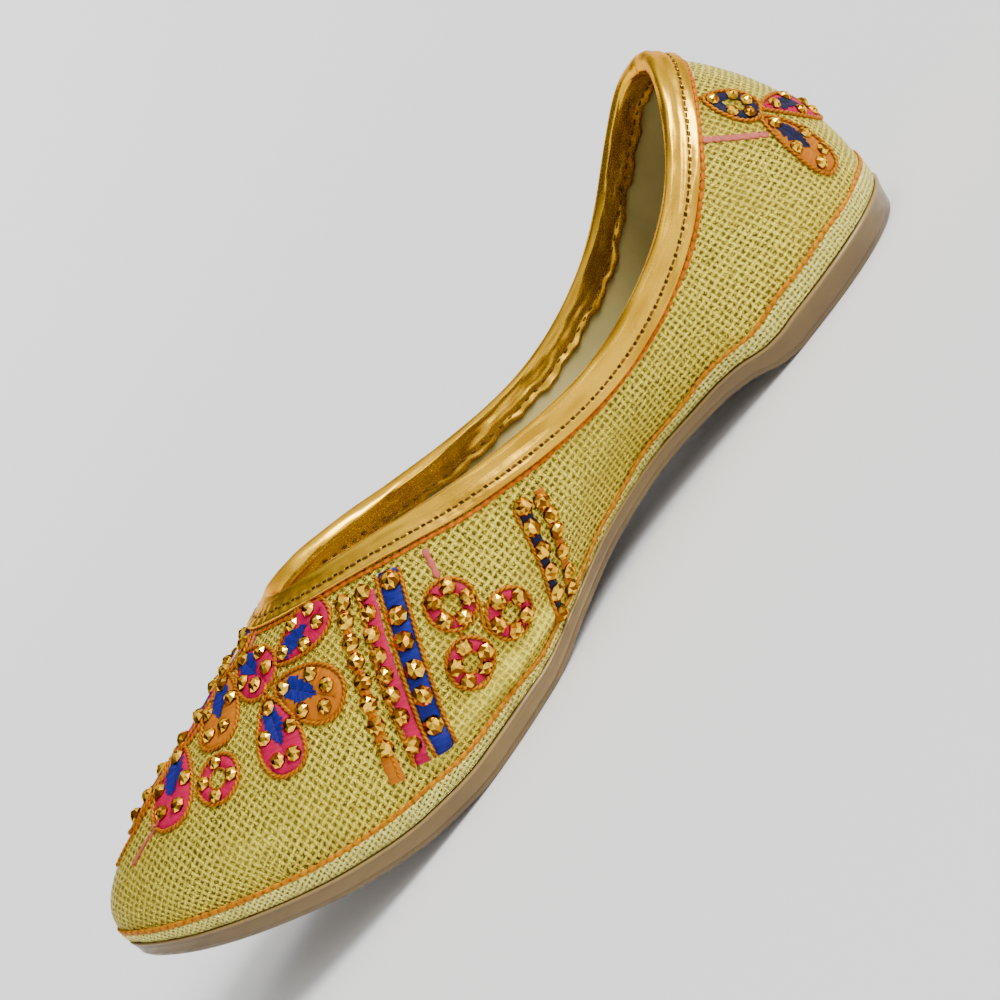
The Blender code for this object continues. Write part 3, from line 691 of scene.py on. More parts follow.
def cloth_chart():
    """Two coordinates in millimetres for the cloth, near true length: along the shoe, and round it.

    On the vamp the second one is measured from the middle line, and on the sides from a level line, so
    that the rows of the weave run straight.
    """
    angles = np.linspace(0, math.pi / 2, 64)
    levels = np.arange(-127, 60, 1.0)
    throat = int(np.searchsorted(levels, -50.0))
    girth = np.zeros((2, len(levels), len(angles)))
    base_z = sole_top(levels) - 3
    start = np.zeros((2, len(levels)))
    level = 0.0
    for side, sign in ((0, 1), (1, -1)):
        for row, y in enumerate(levels):
            reach, path = 30.0, []
            for angle in angles:
                direction = Vector((sign * math.cos(angle), 0, math.sin(angle)))
                origin = Vector((float(PLACE[0]), float(y), float(base_z[row])))
                hit, _, _, distance = ground.tree.ray_cast(origin, direction)
                reach = distance if hit is not None else reach
                path.append((reach * direction[0], reach * direction[2]))
            path = np.array(path)
            girth[side, row, 1:] = np.cumsum(np.linalg.norm(np.diff(path, axis=0), axis=1))
            height = path[:, 1] + base_z[row]
            if row < throat:
                start[side, row] = girth[side, row, -1]
                level = np.interp(start[side, row] - FROM_MIDDLE, girth[side, row], height)
            else:
                start[side, row] = FROM_MIDDLE + np.interp(level, height[:50], girth[side, row, :50])
    x, y, z = skin[..., 0] - PLACE[0], skin[..., 1], skin[..., 2]
    angle = np.arctan2(z - sole_top(y.ravel()).reshape(y.shape) + 3, np.abs(x))
    a = np.clip(angle / (math.pi / 2) * 63, 0, 62.999)
    b = np.clip((y + 127), 0, len(levels) - 1.001)
    i, j = b.astype(int), a.astype(int)
    fi, fj = b - i, a - j
    side = (x < 0).astype(int)

    def read(k):
        return girth[side, i, k] * (1 - fi) + girth[side, i + 1, k] * fi

    up = read(j) * (1 - fj) + read(j + 1) * fj
    full = start[side, i] * (1 - fi) + start[side, i + 1] * fi
    across = np.where(x < 0, -1, 1) * (full - up)
    along = -y + 0.9 * np.clip(-normals[..., 1] - 0.25, 0, 1) * np.clip(48 - z, 0, 20) * (y < -90)
    share = np.minimum(surface.ribs, 2 - surface.ribs)
    middle = surface.at(np.full((1, len(ribs)), 0.45))[0]
    lap = np.linalg.norm(np.roll(middle, -1, axis=0) - middle, axis=1)
    walked = np.concatenate([[0], np.cumsum(lap)[:-1]])
    turn = int(0.33 * RIBS)
    walked = np.where(surface.ribs <= 1, walked[turn] - walked, walked - walked[-turn])
    heel_along = -middle[turn, 1] - walked
    climbed = shares * surface.length
    at_level = np.array([np.interp(level, skin[:, k, 2], climbed[:, k]) for k in range(len(ribs))])
    heel_across = np.where(surface.ribs <= 1, 1, -1) * (FROM_MIDDLE + at_level - climbed)
    w = np.clip((share - 0.22) / 0.14, 0, 1)
    w = w * w * (3 - 2 * w)
    return np.stack([along * w + heel_along * (1 - w), across * w + heel_across * (1 - w)], axis=-1)


FROM_MIDDLE = 46.0
chart = cloth_chart()
upper = add_sheet("upper_cloth", skin, skin_faces, GOLD_CLOTH, "upper", chart, ["upper"])
upper.data.materials.append(EDGE_CLOTH)
# How much painted highlight each point of the upper takes.
painted_highlight = upper.data.attributes.new("painted_highlight", "FLOAT", "POINT")
painted_highlight.data.foreach_set("value", painted_highlight_share(skin).ravel().astype(np.float32))
edge_faces = (BAND_ROWS + 2) * len(ribs)
upper.data.polygons.foreach_set("material_index", (np.arange(len(skin_faces)) < edge_faces).astype(np.int32))

lining_shares = np.linspace(0, 1, 40)[:, None] * np.ones(len(ribs))
inside = surface.at(lining_shares) - surface.normal(lining_shares) * UPPER_WALL
inside[0, :, 2] = sole_top(inside[0, :, 1]) + CLEARANCE
add_sheet("upper_lining", inside, grid_faces(40, len(ribs)), LINING, "upper", np.zeros((40 * len(ribs), 2)))

# Sole and insole


def plate(edge, height_at, strips):
    """Points and faces that fill a closed edge from its medial to its lateral side."""
    half = len(edge) // 2
    i = np.arange(1, half)
    medial, lateral = edge[i], edge[len(edge) - i]
    k = np.linspace(0, 1, strips + 1)[None, :, None]
    rows = medial[:, None] * (1 - k) + lateral[:, None] * k
    rows[:, 1:-1, 2] = height_at(rows[:, 1:-1, 0], rows[:, 1:-1, 1])
    points = np.concatenate([rows.reshape(-1, 3), edge[[0]], edge[[half]]])
    faces = grid_faces(half - 1, strips + 1, closed=False).tolist()
    first, last = len(points) - 2, len(points) - 1
    end = (half - 2) * (strips + 1)
    faces += [[first, k + 1, k] for k in range(strips)]
    faces += [[last, end + k, end + k + 1] for k in range(strips)]
    return points, faces


EDGE_BEVEL = 1.3
EDGE_ROUND = 0.6


def add_outsole():
    edge = sole_line(ribs)
    out = outward(edge)
    heel = monotone(SOLE_EDGE[:, 0], SOLE_EDGE[:, 1], 0.5 - (edge[:, 1] - PLACE[1]) / LENGTH)
    thickness = sole_top(edge[:, 1]) - sole_underside(edge[:, 1])

    def ring(inset, share=None, lift=0.0):
        points = edge - out * (np.zeros(len(edge)) + inset)[:, None]
        low, high = sole_underside(points[:, 1]), sole_top(points[:, 1])
        points[:, 2] = (low if share is None else low + (high - low) * share) + lift
        return points

    taper = heel * HEEL_TAPER
    rings = [ring(taper + EDGE_BEVEL)]
    for k in range(1, 6):
        turn = math.pi / 2 * k / 5
        rings.append(ring(taper + EDGE_BEVEL * (1 - math.sin(turn) * 0.92), None,
                          EDGE_BEVEL * (1 - math.cos(turn))))
    low = EDGE_BEVEL / thickness
    high = 1 - EDGE_ROUND / thickness
    for k in range(0, 9):
        share = low + (high - low) * k / 8
        hollow = 0.18 * math.sin(math.pi * k / 8) + 0.22 * (k == 7)
        rings.append(ring(taper * (1 - k / 8) + hollow, share))
    for k in range(1, 5):
        turn = math.pi / 2 * k / 4
        rings.append(ring(EDGE_ROUND * (1 - math.cos(turn)), high + (1 - high) * math.sin(turn)))
    pile = Pile()
    share = (np.array(rings)[..., 2] - sole_underside(edge[:, 1])) / thickness
    pile.add(np.array(rings), grid_faces(len(rings), len(ribs), flip=True),
             np.stack(np.broadcast_arrays(0.0, share), axis=-1))
    points, faces = plate(rings[-1], lambda x, y: sole_top(y.ravel()).reshape(y.shape), 12)
    pile.add(points, faces)
    points, faces = plate(rings[0], lambda x, y: sole_underside(y.ravel()).reshape(y.shape), 12)
    pile.add(points, [f[::-1] for f in faces])
    pile.make("moulded_sole", SOLE, "outsole", True, ["outsole"])


def insole_height(x, y):
    shape = y.shape
    return sole_top(y.ravel()).reshape(shape) + CLEARANCE + INSOLE_THICKNESS


def add_insole():
    feather = inset_line(sole_line(ribs), SOLE_REVEAL)
    edge = inset_line(feather, UPPER_WALL + 2 * CLEARANCE)
    low, high = edge.copy(), edge.copy()
    low[:, 2] += CLEARANCE
    high[:, 2] += CLEARANCE + INSOLE_THICKNESS
    pile = Pile()
    bias = np.array([(math.cos(0.7), -math.sin(0.7)), (math.sin(0.7), math.cos(0.7))])
    sides = np.array([low, high])
    pile.add(sides, grid_faces(2, len(ribs), flip=True), sides[..., :2] @ bias)
    points, faces = plate(high, insole_height, 30)
    pile.add(points, faces, points[:, :2] @ bias)
    pile.make("insole_cloth", INSOLE_CLOTH, "insole", True, ["insole"])


add_outsole()
add_insole()

# The gold binding of the collar
BINDING_WIDTHS = np.array([
    # rib, width outside
    (0.00, 7.4), (0.15, 7.3), (0.33, 6.9), (0.48, 6.5), (0.62, 6.1), (0.78, 5.7), (1.00, 5.5),
])
BINDING_FOLDS = [
    # rib, reach in mm along the collar, share of the width, half width, depth (below 0 is a ridge)
    (0.06, 16, 0.30, 0.9, 0.28), (0.17, 22, 0.36, 0.8, 0.25), (0.27, 18, 0.22, 0.9, -0.22),
    (0.33, 26, 0.40, 0.8, 0.30), (0.41, 20, 0.26, 0.9, 0.25), (0.47, 14, 0.45, 0.7, -0.20),
    (0.52, 18, 0.34, 0.8, 0.30), (0.60, 12, 0.30, 0.8, 0.25), (0.72, 10, 0.36, 0.7, 0.22),
    (0.88, 9, 0.40, 0.7, 0.20), (1.04, 9, 0.34, 0.8, 0.25), (1.20, 12, 0.30, 0.8, 0.25),
    (1.38, 16, 0.35, 0.8, 0.28), (1.50, 22, 0.28, 0.9, 0.28), (1.64, 20, 0.40, 0.8, 0.25),
    (1.78, 18, 0.30, 0.9, -0.22), (1.90, 14, 0.36, 0.8, 0.26),
]
OVER = CLEARANCE + BINDING_THICKNESS
share_round = np.minimum(ribs, 2 - ribs)
binding_width = monotone(BINDING_WIDTHS[:, 0], BINDING_WIDTHS[:, 1], share_round)
rim = surface.points[3]
rim_steps = np.linalg.norm(np.roll(rim, -1, axis=0) - rim, axis=1)
rim_length = rim_steps.sum()
rim_along = np.concatenate([[0], np.cumsum(rim_steps)[:-1]])


def binding_relief(share):
    """Gathers at the stitches, a groove under them and soft folds along the collar."""
    stitch = np.exp(-((share - STITCH_LINE / 7) / 0.10) ** 2)
    gather = 0.10 * np.cos(2 * math.pi * rim_along / STITCH_PITCH) * np.exp(-((share - 0.7) / 0.3) ** 2)
    relief = gather - 0.26 * stitch
    relief += 0.10 * np.sin(2 * math.pi * rim_along / 27 + 3 * share)
    for rib, reach, line, half, deep in BINDING_FOLDS:
        place = np.interp(rib, ribs, rim_along)
        away = (rim_along - place + rim_length / 2) % rim_length - rim_length / 2
        slant = line + 0.1 * away / reach
        across = (share - slant) * binding_width / half
        relief -= deep * np.exp(-(away / reach) ** 2 - across ** 2)
    return relief


def binding_row(distance, offset, lift=0.0):
    s = 1 - (distance / surface.length)[None, :]
    offset, lift = (np.broadcast_to(value, len(ribs))[:, None] for value in (offset, lift))
    return (surface.at(s) + surface.normal(s) * offset + surface.climb(s) * lift)[0]


def add_binding():
    shares_out = np.linspace(1, 0, 19)
    inner_edge = (BINDING_INNER_WIDTH - 0.7 + 0.45 * np.sin(2 * math.pi * rim_along / 11.3)
                  + 0.25 * np.sin(2 * math.pi * rim_along / 4.7 + 1.0)
                  + 0.35 * np.sin(2 * math.pi * rim_along / 31.0 + 2.0))
    lap = (rim_along + 7) % rim_length
    lap = 0.32 * np.clip(np.minimum(lap, 13 - lap) / 0.5, 0, 1)
    flat = 0 * rim_along
    profile = [binding_row(binding_width, CLEARANCE)]
    v = [7.6]
    for k, share in enumerate(shares_out):
        height = OVER + binding_relief(share) * min(1, k / 3 + 0.2) * min(1, (18 - k) / 3 + 0.3) + lap
        height = np.clip(height, CLEARANCE + 0.35, OVER + 0.6)
        profile.append(binding_row(binding_width * share, height - 0.4 * (k == 0)))
        v.append(7 * share)
    middle = -UPPER_WALL / 2
    across = OVER - middle
    for k in range(1, 9):
        turn = math.pi * k / 9
        swell = across + 0.12 * np.sin(2 * math.pi * rim_along / 19 + k / 3) + lap * 0.7
        profile.append(binding_row(flat, middle + swell * math.cos(turn), OVER * math.sin(turn)))
        v.append(-0.7 * k)
    for share in np.linspace(0, 1, 13):
        ripple = 0.16 * np.sin(2 * math.pi * rim_along / 6.2 + 2 * share) * share
        dip = 0.22 * np.exp(-((share - 0.72) / 0.07) ** 2)
        height = -UPPER_WALL - OVER + ripple + dip
        profile.append(binding_row(inner_edge * share, height))
        v.append(-7 - 7.6 * share)
    profile.append(binding_row(inner_edge, -UPPER_WALL - 0.05))
    v.append(-15.6)
    profile = np.array(profile)
    uv = np.stack(np.broadcast_arrays(rim_along[None, :], np.array(v)[:, None]), axis=-1)
    add_sheet("collar_binding_leather", profile, grid_faces(len(profile), len(ribs), flip=True),
              GOLD_LEATHER, "collar_binding", uv, ["collar_binding"])


add_binding()

# Cords, chain stitches, studs and satin


def walk(points, normals, step, closed=False):
    """Evenly spaced points on a line with its normals."""
    if closed:
        points = np.concatenate([points, points[:1]])
        normals = np.concatenate([normals, normals[:1]])
    lap = np.concatenate([[0], np.cumsum(np.linalg.norm(np.diff(points, axis=0), axis=1))])
    count = max(4, int(round(lap[-1] / step)))
    at = np.linspace(0, lap[-1], count + 1)
    at = at[:-1] if closed else at
    read = [np.interp(at, lap, points[:, k]) for k in range(3)]
    face = [np.interp(at, lap, normals[:, k]) for k in range(3)]
    return np.stack(read, axis=1), unit(np.stack(face, axis=1)), at, lap[-1]


def frames(points, normals, closed):
    if closed:
        ahead = np.roll(points, -1, axis=0) - np.roll(points, 1, axis=0)
    else:
        ahead = np.gradient(points, axis=0)
    ahead = unit(ahead)
    side = unit(np.cross(ahead, normals))
    return side, np.cross(side, ahead)


def lay_cord(pile, points, normals, radius=0.53, turn=2.6, closed=False, sides=8, lift=0.6, step=0.27):
    """A two-strand twisted cord, couched on the cloth."""
    points, normals, at, total = walk(points, normals, step, closed)
    side, rise = frames(points, normals, closed)
    turns = max(1, round(total / turn)) if closed else total / turn
    angle = np.linspace(0, 2 * math.pi, sides, endpoint=False)[None, :]
    phase = (2 * math.pi * turns * at / total)[:, None]
    reach = radius * (0.55 + 0.5 * np.abs(np.cos(angle - phase)) ** 1.2)
    if not closed:
        reach = reach * np.clip(np.minimum(at, total - at) / 0.5, 0.15, 1)[:, None]
    centre = points + normals * radius * lift
    ring = (centre[:, None] + side[:, None] * (reach * np.cos(angle))[..., None]
            + rise[:, None] * (reach * np.sin(angle))[..., None])
    # The second coordinate is the strand's reach, low in the grooves, which the finish paints as shade.
    uv = np.stack(np.broadcast_arrays(at[:, None], np.abs(np.cos(angle - phase))), axis=-1)
    pile.add(ring, grid_faces(len(points), sides, wrap=closed), uv)


def lay_chain(pile, points, normals, width=1.3, height=0.7, link=2.3, closed=False, sides=10):
    """Chain stitches: loops that are wide in the middle and narrow where the next one starts."""
    points, normals, at, total = walk(points, normals, link / 6, closed)
    side, rise = frames(points, normals, closed)
    links = round(total / link)
    swell = np.abs(np.sin(math.pi * links * at / total)) ** 0.6
    angle = np.linspace(0, 2 * math.pi, sides, endpoint=False)[None, :]
    wide = (width / 2 * (0.42 + 0.58 * swell))[:, None]
    tall = (height / 2 * (0.6 + 0.4 * swell))[:, None]
    dent = 1 - 0.45 * np.exp(-(np.cos(angle) / 0.4) ** 2) * (np.sin(angle) > 0)
    ring = (points[:, None] + side[:, None] * (wide * np.cos(angle))[..., None]
            + (rise[:, None] * (tall * np.sin(angle) * dent + height * 0.25)[..., None]))
    shade = 0.15 + 0.85 * swell[:, None] * (1 - 0.8 * np.exp(-(np.cos(angle) / 0.35) ** 2))
    uv = np.stack(np.broadcast_arrays(at[:, None], shade), axis=-1)
    pile.add(ring, grid_faces(len(points), sides, wrap=closed), uv)


STUD_SIZE = 1.16


def lay_stud(pile, centre, normal, radius, height=None):
    """A faceted gold cone on a short skirt; every facet keeps its own corners and a random tone that the finish
    turns into a painted reflection.
    """
    radius = radius * STUD_SIZE
    height = radius * 0.85 if height is None else height
    side = unit(np.cross(normal, (0.31, 0.52, 0.79)))
    fore = np.cross(normal, side)
    spin = chance.uniform(0, math.pi)
    lean = unit(normal + 0.06 * chance.normal(size=3))
    levels = ((1.0, -0.2, 0.0), (0.98, 0.25, 0.0), (0.60, 0.72, 0.5))
    rows = []
    for reach, rise, shift in levels:
        a = spin + 2 * math.pi * (np.arange(8) + shift) / 8
        rows.append(centre + radius * reach * (np.cos(a)[:, None] * side + np.sin(a)[:, None] * fore)
                    + lean * height * rise)
    points = np.concatenate(rows + [[centre + lean * height]])
    rises = np.repeat([0.0, 0.25, 0.72, 1.0], (8, 8, 8, 1))
    j = np.arange(8)
    k = (j + 1) % 8
    faces = np.stack([j, k, 8 + k, 8 + j], axis=1).tolist()
    faces += np.stack([8 + j, 8 + k, 16 + j], axis=1).tolist()
    faces += np.stack([8 + k, 16 + k, 16 + j], axis=1).tolist()
    faces += np.stack([16 + j, 16 + k, 24 + 0 * j], axis=1).tolist()
    for face in faces:
        tone = chance.uniform(0, 1)
        uv = [(tone, rises[n]) for n in face]
        pile.add(points[face], [range(len(face))], uv)


def satin(pile, first, last, place, rise, edge=0.0, rows=7, ridge=0.08, ragged=0.12):
    """Threads side by side between two charted lines; place sets a charted point on the cloth."""
    count = len(first)
    valley = np.arange(count) % 2
    loose = np.repeat(chance.uniform(-ragged, ragged, count // 2 + 1), 2)[:count]
    v = np.linspace(0, 1, rows)[None, :]
    a = first[:, None, :] * (1 - v[..., None]) + last[:, None, :] * v[..., None]
    a[:, -1] += unit(last - first) * loose[:, None]
    lift = rise(a[..., 0], a[..., 1], v + 0 * a[..., 0]) + ridge * valley[:, None] + edge
    points = place(a.reshape(-1, 2), lift.ravel())
    length = np.linalg.norm(last - first, axis=1)[:, None]
    uv = np.stack([np.arange(count)[:, None] * 0.25 + 0 * v, v * length], axis=-1)
    pile.add(points, grid_faces(count, rows, closed=False), uv)


class Chart:
    """A flat patch of coordinates that touches the cloth, with its first axis ahead."""

    def __init__(self, start, end):
        middle, self.normal = ground.near((np.asarray(start) + np.asarray(end)) / 2)
        ahead = np.asarray(end, float) - np.asarray(start, float)
        self.length = np.linalg.norm(ahead)
        ahead = unit(ahead - (ahead @ self.normal) * self.normal)
        self.ahead, self.side = ahead, np.cross(self.normal, ahead)
        self.origin = middle - ahead * self.length / 2

    def lay(self, flat, lift):
        flat = np.asarray(flat, float)
        lift = np.zeros(len(flat)) + lift
        out = np.empty((len(flat), 3))
        for n, ((a, b), h) in enumerate(zip(flat, lift)):
            start = self.origin + self.ahead * a + self.side * b + self.normal * 12
            point, normal = ground.cast(start, -self.normal)
            out[n] = point + normal * h
        return out

    def facing(self, flat):
        return np.array([ground.cast(self.origin + self.ahead * a + self.side * b + self.normal * 12,
                                     -self.normal)[1] for a, b in flat])


piles = {name: Pile() for name in ("pink", "orange", "blue", "navy", "cord", "chain", "edge", "floss", "stud")}
SATIN_RISE = 0.55


def leaf_half(t, width, fullness=(0.8, 0.45)):
    """Half width of a petal at a share of its length from the narrow end."""
    p, q = fullness
    peak = p / (p + q)
    t = np.clip(t, 0, 1)
    return width / 2 * (t / peak) ** p * ((1 - t) / (1 - peak)) ** q


def even_shares(length, width, pitch, fullness):
    """Shares along a petal that step evenly along its outline."""
    t = (1 - np.cos(np.linspace(0, math.pi, 160))) / 2
    line = np.stack([t * length, leaf_half(t, width, fullness)], axis=1)
    lap = np.concatenate([[0], np.cumsum(np.linalg.norm(np.diff(line, axis=0), axis=1))])
    count = max(8, int(lap[-1] / pitch)) * 2 + 1
    return np.interp(np.linspace(0, lap[-1], count), lap, t)


def leaf_fill(chart, fill, start, length, width, rise, edge=0.0, fullness=(0.8, 0.45), pitch=0.52,
              ragged=0.12, hollow=0.0):
    t = even_shares(length, width, pitch, fullness)
    half = leaf_half(t, width, fullness)
    for sign in (1, -1):
        first = np.stack([start + length * (0.05 + 0.84 * t), 0.04 * sign + 0 * t], axis=1)
        if hollow:
            first = np.stack([start + length * (0.55 + (t - 0.55) * hollow), sign * half * hollow], axis=1)
        last = np.stack([start + length * t, sign * half], axis=1)
        satin(piles[fill], *((first, last) if sign > 0 else (first[::-1], last[::-1])),
              chart.lay, rise, edge, ragged=ragged)


def add_petal(start, end, width, fill, heart="blue", studs=5, stud_radius=1.35, hollow=0.0):
    """A teardrop of satin with a darker heart, studs round its edge and a couched cord."""
    chart = Chart(start, end)
    length = chart.length

    def rise(a, b, v):
        return SATIN_RISE * (0.45 + 0.55 * np.sin(np.clip(v / 0.45, 0, 1) * math.pi / 2)) * np.sqrt(
            np.clip(1 - np.clip((v - 0.5) / 0.5, 0, 1) ** 2 * 0.95, 0, 1))

    def over(a, b, v):
        share = np.abs(b) / np.maximum(leaf_half(a / length, width), 0.3)
        return rise(a, b, np.clip(share, 0, 1)) + 0.16

    leaf_fill(chart, fill, 0.0, length, width, rise, hollow=hollow)
    if heart:
        leaf_fill(chart, heart, length * 0.08, length * 0.56, width * 0.46, over,
                  fullness=(0.7, 0.9), pitch=0.6, ragged=0.6)
    t = (1 - np.cos(np.linspace(0, math.pi, 40))) / 2
    half = leaf_half(t, width) + 0.55
    line = np.concatenate([np.stack([t * (length + 0.9) - 0.45, half], axis=1),
                           np.stack([t * (length + 0.9) - 0.45, -half], axis=1)[-2:0:-1]])
    lay_cord(piles["cord"], chart.lay(line, 0.0), chart.facing(line), closed=True)
    layout = [(0.14, 0.0), (0.48, 0.72), (0.48, -0.72), (0.80, 0.46), (0.80, -0.46)][:studs]
    for share, aside in layout:
        share += chance.uniform(-0.03, 0.03)
        aside += chance.uniform(-0.08, 0.08)
        flat = [(share * length, aside * leaf_half(share, width))]
        lay_stud(piles["stud"], chart.lay(flat, SATIN_RISE * 0.9)[0], chart.facing(flat)[0], stud_radius)


def add_ring(centre, fill, outer, inner, studs=4, spin=0.4, stud_radius=1.35, stretch=1.0, toward=None):
    """A round of satin with the cloth, or a mirror, in its middle."""
    point, normal = ground.near(centre)
    toward = np.array((0.0, -1.0, 0.0)) if toward is None else np.asarray(toward, float)
    ahead = unit(toward - (toward @ normal) * normal)
    chart = Chart(point - ahead * outer, point + ahead * outer)
    count = int(2 * math.pi * outer / 0.5) * 2
    angle = np.linspace(0, 2 * math.pi, count + 1)
    turn = np.stack([np.cos(angle) * stretch, np.sin(angle)], axis=1)
    middle = np.array([outer, 0.0])

    def rise(a, b, v):
        return SATIN_RISE * (0.25 + 0.75 * np.sin(math.pi * np.clip(v, 0.04, 0.96)))

    satin(piles[fill], middle + turn * inner, middle + turn * outer, chart.lay, rise)
    line = (middle + turn * (outer + 0.55))[:-1:2]
    lay_cord(piles["cord"], chart.lay(line, 0.0), chart.facing(line), closed=True)
    line = (middle + turn * (inner - 0.25))[:-1:2]
    lay_cord(piles["cord"], chart.lay(line, 0.0), chart.facing(line), radius=0.32, closed=True)
    for k in range(studs):
        a = spin + 2 * math.pi * k / studs + chance.uniform(-0.12, 0.12)
        flat = [middle + np.array([math.cos(a) * stretch, math.sin(a)]) * (outer + inner) / 2]
        lay_stud(piles["stud"], chart.lay(flat, SATIN_RISE * 0.9)[0], chart.facing(flat)[0], stud_radius)
    return chart, middle


def add_strip(line, sign, width, fill, cords=False):
    """A narrow band of satin down the side; its middle line is given in (y, z)."""
    points, normals, at, _ = walk(*side_line(line, sign, 81), 0.26)
    side, rise = frames(points, normals, False)
    v = np.linspace(-1, 1, 8)[None, :, None]
    arch = SATIN_RISE * (0.15 + 0.85 * np.sqrt(np.clip(1 - v ** 2, 0, 1)))
    thread = 0.07 * (np.arange(len(points)) % 2)[:, None, None]
    loose = np.repeat(chance.uniform(-0.14, 0.14, len(points) // 2 + 1), 2)[:len(points), None, None]
    sheet = points[:, None] + side[:, None] * v * (width / 2 + loose) + rise[:, None] * (arch + thread)
    uv = np.stack(np.broadcast_arrays(at[:, None], v[..., 0] * width / 2), axis=-1)
    piles[fill].add(sheet, grid_faces(len(points), 8, closed=False, flip=True), uv)
    if cords:
        for edge in (-1, 1):
            lay_cord(piles["cord"], points + side * edge * (width / 2 + 0.5), normals)


# The flower on the vamp: offsets from its middle line in plan, mirrored left and right
FLOWER_MIDDLE = -2.9
PAIRS = [
    # tip x, tip y, end x, end y, width, fill, stud radius
    (8.2, -58.7, 24.2, -59.3, 11.6, "pink", 1.7),
    (4.9, -64.3, 18.8, -77.3, 12.2, "orange", 1.7),
    (4.7, -83.6, 18.9, -98.0, 12.4, "pink", 1.7),
    (23.5, -54.4, 29.5, -37.8, 10.4, "pink", 1.65),
    (26.5, -58.6, 39.2, -52.0, 12.0, "orange", 1.65),
    (25.6, -62.4, 36.6, -71.2, 10.6, "pink", 1.65),
]
SINGLES = [
    (0.0, -65.6, 0.0, -85.6, 12.6, "pink", 1.75),
    (0.0, -87.4, 0.0, -105.8, 12.4, "orange", 1.75),
]
BLUE_STUDS = [(-25.0, 44.6), (-30.2, 39.1), (-33.8, 34.9), (-37.4, 29.6), (-40.9, 25.0), (-44.6, 18.8)]
PINK_STUDS = [(-31.0, 47.3), (-33.7, 44.0), (-36.9, 40.8), (-39.7, 37.2), (-42.2, 33.7), (-44.9, 30.2),
              (-47.3, 25.9), (-50.6, 20.1)]
GOLD_STUDS = [(-35.4, 49.1), (-38.1, 46.5), (-41.2, 43.1), (-43.6, 40.0), (-46.2, 36.4), (-49.2, 32.8),
              (-52.1, 28.7), (-55.0, 24.2)]
NAVY_STUDS = [(5.3, 31.5), (2.8, 27.2), (0.4, 22.2), (-2.0, 17.6), (-4.8, 13.1), (-7.6, 9.2)]
AMBER_STUDS = [(9.2, 28.8), (8.0, 25.2), (6.1, 21.8), (3.4, 17.8), (0.8, 13.5), (-1.6, 10.2)]
STRIPS = [
    # middle line, width, fill, whether cords run along both edges
    ([(-34.6, 49.9), (-41.2, 43.1), (-49.2, 32.8), (-56.6, 21.8)], 2.2, "orange", False),
    ([(-56.4, 22.2), (-59.0, 17.6)], 3.6, "orange", False),
    ([(-30.0, 46.9), (-35.7, 40.5), (-41.2, 33.2), (-46.3, 25.6), (-52.3, 15.8)], 3.4, "pink", False),
    ([(-23.8, 46.4), (-29.9, 39.3), (-37.5, 29.6), (-44.6, 18.8), (-47.3, 13.6)], 4.6, "blue", True),
    ([(5.8, 32.6), (0.4, 22.4), (-8.6, 7.0)], 3.0, "navy", False),
    ([(10.6, 31.0), (5.8, 21.6), (-2.8, 8.4)], 2.6, "orange", False),
]
THREADS = [
    # finish, radius, points in plan on the upper
    ("cord", 0.42, [(2.6, -50.5), (3.2, -62.0), (2.4, -78.0), (3.4, -92.0), (4.0, -104.0), (1.5, -114.0)]),
    ("floss", 0.40, [(4.6, -51.5), (6.4, -56.0)]),
    ("floss", 0.40, [(12.4, -98.0), (10.6, -105.0), (9.5, -111.0)]),
    ("cord", 0.40, [(-2.9, -51.0), (-2.9, -52.2)]),
    ("cord", 0.40, [(20.9, -59.5), (22.2, -61.5), (23.0, -63.5)]),
    ("cord", 0.40, [(-27.0, -59.5), (-28.4, -61.5), (-29.0, -63.5)]),
]


def add_flower():
    for tip_x, tip_y, end_x, end_y, width, fill, stud in PAIRS:
        for sign, reach in ((1, 1.0), (-1, 0.9 if end_x > 35 else 1.0)):
            add_petal(ground.top(FLOWER_MIDDLE + sign * tip_x, tip_y)[0],
                      ground.top(FLOWER_MIDDLE + sign * end_x * reach, end_y)[0], width, fill,
                      stud_radius=stud)
    for tip_x, tip_y, end_x, end_y, width, fill, stud in SINGLES:
        add_petal(ground.top(FLOWER_MIDDLE + tip_x, tip_y)[0],
                  ground.top(FLOWER_MIDDLE + end_x, end_y)[0], width, fill, stud_radius=stud)
    for sign in (1, -1):
        add_ring(ground.top(FLOWER_MIDDLE + sign * 23.9, -82.9)[0], "pink", 5.4, 2.7, spin=0.8,
                 stud_radius=1.55)
    chart, middle = add_ring(ground.top(FLOWER_MIDDLE, -58.6)[0], "blue", 6.8, 3.9, spin=0.5,
                             stud_radius=1.8)
    angle = np.linspace(0, 2 * math.pi, 36, endpoint=False)
    rows = [middle + np.stack([np.cos(angle), np.sin(angle)], axis=1) * r for r in (4.0, 3.7, 2.0, 0.02)]
    lift = np.repeat([0.1, 0.35, 0.42, 0.45], 36)
    add_sheet("vamp_mirror", chart.lay(np.concatenate(rows), lift), grid_faces(4, 36, flip=False), GLASS,
              "upper")
    covered = [piles[name] for name in ("pink", "orange", "blue", "cord")]
    start = np.cumsum([skin.size // 3] + [pile.count for pile in covered])
    faces = skin_faces.tolist()
    for pile, first in zip(covered, start):
        faces += [[n + int(first) for n in face] for face in pile.faces]
    points = np.concatenate([skin.reshape(-1, 3)] + [point for pile in covered for point in pile.points])
    dressed = Ground(points, faces)
    for finish, radius, line in THREADS:
        line = smooth_line(np.array(line), 60)
        hits = [dressed.top(x, y) for x, y in line]
        lay_cord(piles[finish], np.array([h[0] for h in hits]),
                 np.array([ground.top(x, y)[1] for x, y in line]), radius)


